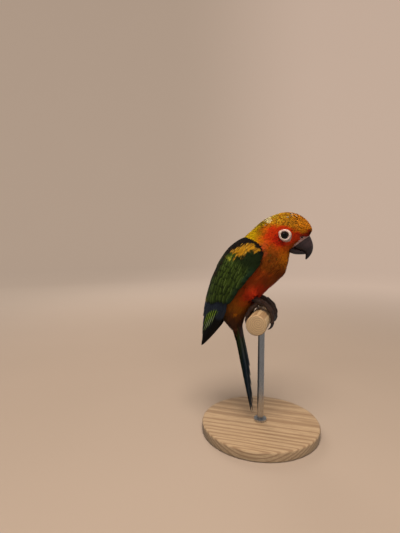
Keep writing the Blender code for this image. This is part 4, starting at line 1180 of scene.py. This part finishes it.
for kind, count in (("primary", len(PRIMARY_EDGES)), ("secondary", SECONDARIES), ("tertial", TERTIALS)):
    t = np.linspace(0, 1, count)
    if kind == "primary":
        edge = np.array(PRIMARY_EDGES)
        root = np.stack((4.4 + 0 * t, edge - 12 - 14 * t**3), -1)
        tip = np.stack((6.9 + 1.1 * t**0.7, edge - 6 + 6 * t), -1)
        lifts, width = np.stack((0.4 - 1.4 * t, 0.5 - 1.4 * t, 0.5 - 1.4 * t), -1), 7.0
    elif kind == "secondary":
        root, tip = np.stack((4.2 + 0 * t, 20 + 18 * t), -1), np.stack((6.45 - 0.6 * t, 22 + 12 * t), -1)
        lifts, width = np.stack((0.3 + 0 * t, 0.8 - 0.3 * t, 0.9 - 0.3 * t), -1), 6.4
    else:
        root, tip = np.stack((3.9 + 0 * t, 21 + 9 * t), -1), np.stack((6.0 - 0.25 * t, 20 + 9 * t), -1)
        lifts, width = np.stack((0.7 + 0 * t, 1.1 + 0 * t, 1.2 + 0 * t), -1), 6.2
    tip = tip + chance.normal(0, 0.02, tip.shape) * (1, 10)
    form, tilt, arch = ("pointed", 0.12, 0.02) if kind == "primary" else ("long", 0.15, 0.03)
    widths = np.full(count, width)
    flights.append(wing_feathers("flight", root, tip, widths, lifts, tilt, arch, form, FLIGHT_ROWS))

arm_at, arm_u = np.meshgrid(np.linspace(0.05, 4.6, 40), np.linspace(0, 1, 25), indexing="ij")
arm_turn = WING_BACK_ANGLE + (wing_edge(arm_at) - 6.0 - WING_BACK_ANGLE) * arm_u
arm_point, arm_up = wing_place(arm_at, arm_turn, -1.0 + 0.9 * np.sin(np.pi * arm_u) * (1 - arm_at / 7))
for word, sign in (("right", -1), ("left", 1)):
    flip = np.array((1, -sign, 1))
    for part, sets in (("coverts", coverts), ("flight_feathers", flights)):
        point, up, colours, vane = (np.concatenate([g[i] for g in sets])[:, :, ::-sign] for i in range(4))
        nodes = (f"wing_{word}",) if part == "coverts" else ()
        blades(f"{part}_{word}", point * flip, up * flip, colours, vane, wing_finish, "wing_feathers", nodes)
    point, up = (a[None, :, ::-sign] * flip for a in (arm_point, arm_up))
    plain = np.zeros_like(point)
    blades(f"wing_arm_{word}", point, up * ARM_BLADES, plain, plain[..., :2], under_finish, "wing_feathers")


# Tail.  Twelve stiff feathers, the middle pair longest, hang from a root that the rump feathers
# cover.  Coverts lie over and under their bases.
TAIL_ROOT, TAIL_LEAN = (-24.6, 0.0, 104.0), math.radians(12.0)
TAIL_LENGTHS = (89, 83, 75, 66, 57, 48)  # of each pair, from the middle out
TAIL_WIDTH, TAIL_COVERT_WIDTH = 8.2, 5.6
TAIL_GREEN, TAIL_BLUE, TAIL_BROWN = paint(56, 62, 28), paint(28, 44, 56), paint(60, 32, 18)
TAIL_COVERT = paint(70, 38, 20)

down = np.array((math.sin(TAIL_LEAN), 0, -math.cos(TAIL_LEAN)))
rear = np.array((-math.cos(TAIL_LEAN), 0, -math.sin(TAIL_LEAN)))
tail_sets = []


def tail_blades(places, heights, start, length, width, form, colour_root, colour_tip):
    """Straight feathers of the tail from arrays: sideways places and heights at root and tip."""
    count = len(start)
    places, heights = np.stack(places, -1), np.stack(heights, -1)
    v = np.linspace(0, 1, FLIGHT_ROWS)[None, :, None]
    u = SHAFT_COLUMNS[None, None, :]
    share = outline(form, v)
    ragged = 1 + chance.normal(0, 0.03, (count, FLIGHT_ROWS, u.size)) * (np.abs(u) > 0.9)
    reach = u * share * width / 2 * ragged
    aside = places[:, 0, None, None] + (places[:, 1] - places[:, 0])[:, None, None] * v
    height = heights[:, 0, None, None] + (heights[:, 1] - heights[:, 0])[:, None, None] * v
    height = height - 0.05 * width * u**2 * share * np.sign(height + 0.01)
    height = height + SHAFT_RISE * (1 - v) * np.exp(-((u / 0.06) ** 2))
    along = start[:, None, None] + length[:, None, None] * v
    point = np.array(TAIL_ROOT) + down * (along + 0 * u)[..., None] + rear * height[..., None]
    point = point + np.array((0, 1, 0)) * (aside + reach)[..., None]
    up = np.broadcast_to(rear, point.shape)
    t = rise(v + 0.08 * np.abs(u), 0.25, 0.95)[..., None]
    colours = colour_root * (1 - t) + colour_tip * t
    shaft = 1 - rise(np.abs(u), 0.03, 0.16)
    colours = over(colours + 0 * point, 0.5 * shaft + 0 * height, paint(30, 22, 16))
    colours = colours * chance.uniform(0.8, 1.2, (count, 1, 1, 1))
    vane = np.stack((reach, along + 0 * u), -1)
    tail_sets.append((point[:, :, ::-1], up, colours, vane[:, :, ::-1]))


pair = np.repeat(np.arange(6), 2)
side = np.tile((-1, 1), 6)
height = 1.9 - 0.9 * pair - 0.45 * np.where(pair == 0, side, 1)
place = np.where(pair == 0, 2.2, 2.8 + 0.35 * (pair - 1)) * side
tip = np.where(pair == 0, 1.4, 4.3 + 0.85 * (pair - 1)) * side
start, length = np.full(12, -2.0), np.array(TAIL_LENGTHS)[pair] + 2.0
tail_blades((place, tip), (height, height), start, length, TAIL_WIDTH, "pointed", TAIL_GREEN, TAIL_BLUE)
for row in range(5):
    for face, lower, at_root, at_tip in ((1, 0, TAIL_COVERT, TAIL_GREEN), (-1, 1.1, TAIL_BROWN, TAIL_BROWN)):
        count = 7 - row // 2
        place = np.linspace(-6.6, 6.6, count) * (1 - 0.06 * row) + chance.normal(0, 0.3, count)
        heights = [face * (out + 0.25 * row + lower) - np.abs(place) * 0.08 * face for out in (3.1, 2.7)]
        start, length = np.full(count, -5.0 - 2.2 * row), 22.0 - row + chance.normal(0, 0.8, count)
        places = (place, place * 0.85)
        tail_blades(places, heights, start, length, TAIL_COVERT_WIDTH, "round", at_root, at_tip)
tail_finish = feather_finish("tail_feathers", 0.52, 0.6, 0.30)
point, up, colours, vane = (np.concatenate([g[i] for g in tail_sets]) for i in range(4))
blades("tail_feathers", point, up, colours, vane, tail_finish, "tail_feathers", ("tail",))


# Feet: two toes forward and two back, gripping the perch.  Their skin is dark and scaly, with broad
# scutes over the tops of the toes.  A curved black claw ends each toe.
PERCH_RADIUS, PERCH_HALF_LENGTH, PERCH_HEIGHT = 9.0, 33.0, 108.0
FOOT_SIDE = 9.6
TARSUS = ((-9.8, 128.6, 2.6), (-5.0, 126.4, 2.9), (0.2, 123.9, 3.3), (3.0, 122.0, 2.8))
TOES = (
    # number, first and last angle, first and last radius of the path, side at root and end
    (1, -14.0, -76.0, 13.8, 11.2, -1.6, -3.4),
    (2, 10.0, 76.0, 15.4, 11.5, -1.8, -4.2),
    (3, 10.0, 98.0, 15.8, 11.4, 2.0, 4.6),
    (4, -12.0, -94.0, 14.2, 11.3, 2.0, 4.4),
)
TOE_RADIUS, TOE_TIP_RADIUS, CLAW_TURN = 2.35, 1.6, 34.0
CLAW_RADIUS, CLAW_TIP_RADIUS = 1.35, 0.14
SCUTE_LENGTH, SCUTE_STEP = 1.35, 0.30
FOOT_VOXEL = 0.24


def around_perch(degrees, radius, side_place):
    """Places round the perch, by degrees forward from its top."""
    turn = np.radians(degrees)
    return np.stack((radius * np.sin(turn), side_place + 0 * turn, PERCH_HEIGHT + radius * np.cos(turn)), -1)


def tube(shape, centres, rings):
    """Add a closed tube to a mesh, through centres, with an array of radii round each, where the
    first radius points away from the perch."""
    ahead = unit(np.gradient(centres, axis=0))
    out = unit(centres * np.array((1, 0, 1)) - np.array((0, 0, PERCH_HEIGHT)))
    side = unit(np.cross(ahead, out))
    out = np.cross(side, ahead)
    sides = rings.shape[1]
    angle = np.linspace(0, 2 * math.pi, sides, endpoint=False)[None, :, None]
    spoke = out[:, None] * np.cos(angle) + side[:, None] * np.sin(angle)
    points = centres[:, None] + spoke * rings[..., None]
    corners = [[shape.verts.new(p * MM) for p in ring] for ring in points]
    walls(shape, corners)
    for end, way in ((0, -1), (-1, 1)):
        cap = shape.verts.new((centres[end] + ahead[end] * way * rings[end].mean() * 0.5) * MM)
        for j in range(sides):
            shape.faces.new((corners[end][j], corners[end][(j + 1) % sides], cap))


look = Look("foot_scales", 0.55)
place = look.place()
grains = look.cells(place, 0.85)
worn = look.noise(place, 2.5, 4.0)
scale_colour = look.mix(look.step(worn, 0.35, 0.7), paint(62, 38, 24), paint(44, 26, 17))
scale_colour = look.mix(look.step(grains, 0.0, 0.2, 0.75, 0.0), scale_colour, paint(30, 22, 22))
polish = look.step(worn, 0.3, 0.7, 0.42, 0.65)
foot_finish = look.finish(scale_colour, polish, look.step(grains, 0.0, 0.3), 0.14)
look = Look("claw_horn", 0.28, Coat_Weight=0.2)
fibre = look.noise(look.place((0.5, 3.0, 0.5)), 0.7, 3.0)
horn = look.mix(fibre, paint(22, 18, 18), paint(58, 48, 46))
claw_finish = look.finish(horn, look.step(fibre, 0.3, 0.7, 0.22, 0.42))

for side, word in ((-1, "right"), (1, "left")):
    shape = bmesh.new()
    shank = along_rows(np.array([(x, side * FOOT_SIDE, z, r) for x, z, r in TARSUS]), np.linspace(0, 3, 30))
    tube(shape, shank[:, :3], np.repeat(shank[:, 3:], 28, 1))
    for number, first, last, out, end_out, root_side, end_side in TOES:
        t = np.linspace(0, 1, 90)
        angle = first + (last - first) * t
        reach = out + (end_out - out) * np.sin(t * math.pi / 2)
        centres = around_perch(angle, reach, side * (FOOT_SIDE + root_side + (end_side - root_side) * t))
        walked = np.r_[0, np.cumsum(np.linalg.norm(np.diff(centres, axis=0), axis=1))]
        radius = TOE_RADIUS + (TOE_TIP_RADIUS - TOE_RADIUS) * t + 0.22 * np.cos(t * 6 * math.pi)
        scute = (walked / SCUTE_LENGTH) % 1.0
        around = np.linspace(0, 360, 28, endpoint=False)
        on_top = rise(np.cos(np.radians(around)), 0.0, 0.5)[None]
        step = (SCUTE_STEP * (scute**0.6 * (1 - rise(scute, 0.86, 1.0)) - 0.45))[:, None]
        rings = radius[:, None] + step * on_top
        tube(shape, centres, rings)
        claw = bmesh.new()
        t = np.linspace(0, 1, 18)
        turn = math.copysign(CLAW_TURN, last)
        reach = end_out + 0.5 * np.sin(t * math.pi) - 1.2 * t
        claw_path = around_perch(last + turn * t, reach, side * (FOOT_SIDE + end_side + 0.4 * t))
        claw_path = claw_path + unit(centres[-1] - centres[-2]) * 0.3
        around = np.radians(np.linspace(0, 360, 16, endpoint=False))
        claw_radius = (CLAW_RADIUS * (1 - t) ** 0.75 + CLAW_TIP_RADIUS)[:, None]
        claw_radius = claw_radius * (1 + 0.12 * np.cos(around))[None]
        tube(claw, claw_path, claw_radius)
        thing = link(f"claw_horn_{word}_{number}", mesh_of("claw", claw))
        thing.data.shade_smooth()
        made_of(thing, claw_finish, f"claw_{word}_{number}", slot="claw_horn")
    foot = remeshed(f"foot_skin_{word}", mesh_of("foot", shape), 0.0, FOOT_VOXEL, 1)
    made_of(foot, foot_finish, f"foot_{word}", slot="foot_scales")


# Stand: a turned round base of pale wood, a brushed steel rod with a collar at each end, and a
# short wooden rail that the toes close round.
BASE_RADIUS, BASE_THICKNESS, ROD_RADIUS = 55.0, 9.0, 3.0


def turned(name, radius, low, high, bevel, axis="Z", sides=128):
    """A turned round piece between two places on its axis, with rounded edges."""
    bpy.ops.object.select_all(action="DESELECT")
    middle = (low + high) / 2
    bpy.ops.mesh.primitive_cylinder_add(
        vertices=sides,
        radius=radius * MM,
        depth=(high - low) * MM,
        location=(0, middle * MM, PERCH_HEIGHT * MM) if axis == "Y" else (0, 0, middle * MM),
        rotation=(math.radians(90), 0, 0) if axis == "Y" else (0, 0, 0),
    )
    thing = bpy.context.object
    thing.name = name
    rounding = thing.modifiers.new("rounding", "BEVEL")
    rounding.width = bevel * MM
    rounding.segments = 5
    rounding.limit_method = "ANGLE"
    settle(thing)
    thing.data.shade_smooth()
    thing.data.set_sharp_from_angle(angle=math.radians(50))
    return thing


def wood_finish(name, along, pith, ring, light, dark, roughness):
    """Wood whose grain runs along an axis, with yearly rings of that width round its pith."""
    look = Look(name, roughness, Coat_Weight=0.12, Coat_Roughness=0.3)
    stretch = [0.05 if axis == along else 1.0 for axis in "XYZ"]
    place = look.place(stretch)
    across = look.vector("SUBTRACT", place, pith)
    across = look.vector("MULTIPLY", across, [0.0 if axis == along else 1.0 for axis in "XYZ"])
    wobble = look.noise(place, 9.0, 2.0) * 3.0
    far = look.vector("LENGTH", across, output=1) + wobble
    late = look.step(look.maths("SINE", far * (2 * math.pi / ring)), -0.2, 1.0)
    fibre = look.noise(place, 0.8, 4.0)
    pores = look.noise(place, 0.35, 2.0)
    colour = look.mix(late * 0.65, light, dark)
    colour = look.mix(look.step(fibre, 0.35, 0.7, 0.0, 0.45), colour, dark)
    colour = look.mix(look.step(pores, 0.62, 0.72, 0.0, 0.5), colour, dark * 0.6)
    polish = look.step(fibre, 0.3, 0.7, roughness - 0.1, roughness + 0.1)
    return look.finish(colour, polish, fibre + late * 0.4, 0.06)


BASE_WOOD, BASE_GRAIN = paint(190, 158, 122), paint(136, 102, 72)
PERCH_WOOD, PERCH_GRAIN = paint(200, 166, 124), paint(140, 102, 68)
base_finish = wood_finish("base_wood", "X", (0, 14, -70), 2.6, BASE_WOOD, BASE_GRAIN, 0.5)
perch_finish = wood_finish("perch_wood", "Y", (1.8, 0, 109.6), 1.5, PERCH_WOOD, PERCH_GRAIN, 0.55)
look = Look("rod_steel", 0.3, Metallic=1.0)
brush = look.noise(look.place((1.0, 1.0, 0.03)), 0.3, 3.0)
steel = look.mix(brush, paint(176, 176, 178), paint(206, 206, 208))
rod_finish = look.finish(steel, look.step(brush, 0.3, 0.7, 0.22, 0.4))
rod_low, rod_high = BASE_THICKNESS + 0.3, PERCH_HEIGHT - PERCH_RADIUS - 0.3
base = turned("base_disc", BASE_RADIUS, 0.0, BASE_THICKNESS, 1.6)
made_of(base, base_finish, "stand_base", slot="stand_base_wood")
perch = turned("perch_rail", PERCH_RADIUS, -PERCH_HALF_LENGTH, PERCH_HALF_LENGTH, 1.2, "Y", 96)
made_of(perch, perch_finish, "stand_perch", slot="perch_wood")
rod = turned("rod", ROD_RADIUS, rod_low, rod_high, 0.2, sides=48)
made_of(rod, rod_finish, "stand_rod", slot="rod_steel")
for name, radius, low, high in (
    ("collar_low", 6.0, rod_low - 0.2, rod_low + 2.2),
    ("collar_high", 4.6, rod_high - 2.6, rod_high + 0.1),
):
    made_of(turned(name, radius, low, high, 0.5, sides=64), rod_finish, slot="rod_steel")


# Stage: a pale floor that sweeps up into a plain wall all round, soft lamps, and the camera.
ROOM_RADIUS, COVE, ROOM_HEIGHT = 1.7, 0.5, 2.6
GLOW_LEFT, GLOW_RIGHT = (0.355, 0.266, 0.204), (0.475, 0.354, 0.28)  # light off the far wall
CAMERA_PLACE, CAMERA_YAW, CAMERA_PITCH, LENS = (49.3, -352.9, 186.7), 107.19, -5.06, 26.0

curve = np.linspace(0.1, math.pi / 2, 14)
profile = [(ROOM_RADIUS, 0.0)]
profile += [(ROOM_RADIUS + COVE * math.sin(a), COVE * (1 - math.cos(a))) for a in curve]
profile.append((ROOM_RADIUS + COVE, ROOM_HEIGHT))
shape = bmesh.new()
turns = np.linspace(0, 2 * math.pi, 96, endpoint=False)
rings = [[shape.verts.new((r * math.cos(a), r * math.sin(a), z)) for a in turns] for r, z in profile]
shape.faces.new(rings[0])
walls(shape, rings)
room = link("floor_and_wall", mesh_of("floor_and_wall", shape))
room.data.flip_normals()
room.data.shade_smooth()
look = Look("painted_plaster", 0.95, Specular_IOR_Level=0.1, Emission_Strength=1.0)
east, north, _ = look.parts(look.place())
smudge = look.noise(look.place(), 260.0, 2.0)
floor_colour = look.mix(smudge, paint(174, 153, 135), paint(180, 158, 140))
wall_colour = look.mix(smudge, paint(128, 116, 104), paint(132, 120, 108))
far = look.vector("LENGTH", look.node("CombineXYZ", None, {0: east, 1: north}), output=1)
# The far floor and wall glow with painted light, brighter to the right, in place of lamp light; under it they
# are painted darker.
glow = look.mix(look.step(east, -900.0, 50.0), GLOW_LEFT, GLOW_RIGHT)
glow = look.mix(look.step(far, 180.0, 1150.0), (0.0, 0.0, 0.0), glow)
look.feed(look.surface.inputs["Emission Color"], glow)
plaster = look.mix(look.step(far, 240.0, 1050.0), floor_colour, wall_colour)
room.data.materials.append(look.finish(plaster))
room.visible_shadow = False
room.visible_diffuse = False
room.visible_glossy = False

world = bpy.data.worlds.new("studio")
world.use_nodes = True
world.node_tree.nodes["Background"].inputs["Color"].default_value = (1.0, 0.93, 0.86, 1.0)
world.node_tree.nodes["Background"].inputs["Strength"].default_value = 0.24
bpy.context.scene.world = world


def lamp(name, place, target, size, power, colour):
    """A round lamp that shines from a place to another."""
    data = bpy.data.lights.new(name, "AREA")
    data.shape = "DISK"
    data.size = size
    data.energy = power
    data.color = colour
    thing = bpy.data.objects.new(name, data)
    bpy.context.scene.collection.objects.link(thing)
    thing.location = place
    thing.rotation_euler = (Vector(target) - Vector(place)).to_track_quat("-Z", "Y").to_euler()
    thing.visible_glossy = name == "catch"


bird = (0.0, 0.0, 0.16)
lamp("key", (0.08, -0.38, 0.95), bird, 0.5, 9.0, (1.0, 0.96, 0.9))
lamp("fill", (0.40, -0.95, 0.5), bird, 0.8, 2.4, (1.0, 0.92, 0.84))
lamp("back", (-0.5, 0.7, 0.6), bird, 0.6, 3.2, (1.0, 0.95, 0.9))
lamp("catch", (-0.25, -0.75, 0.75), bird, 0.12, 0.5, (1.0, 0.97, 0.92))

camera = bpy.data.objects.new("camera", bpy.data.cameras.new("camera"))
bpy.context.scene.collection.objects.link(camera)
camera.data.sensor_fit = "VERTICAL"
camera.data.sensor_height = 36.0
camera.data.lens = LENS
camera.location = Vector(CAMERA_PLACE) * MM
camera.rotation_euler = (math.radians(90 + CAMERA_PITCH), 0, math.radians(CAMERA_YAW - 90))
bpy.context.scene.camera = camera
bpy.context.scene.view_settings.view_transform = "Standard"
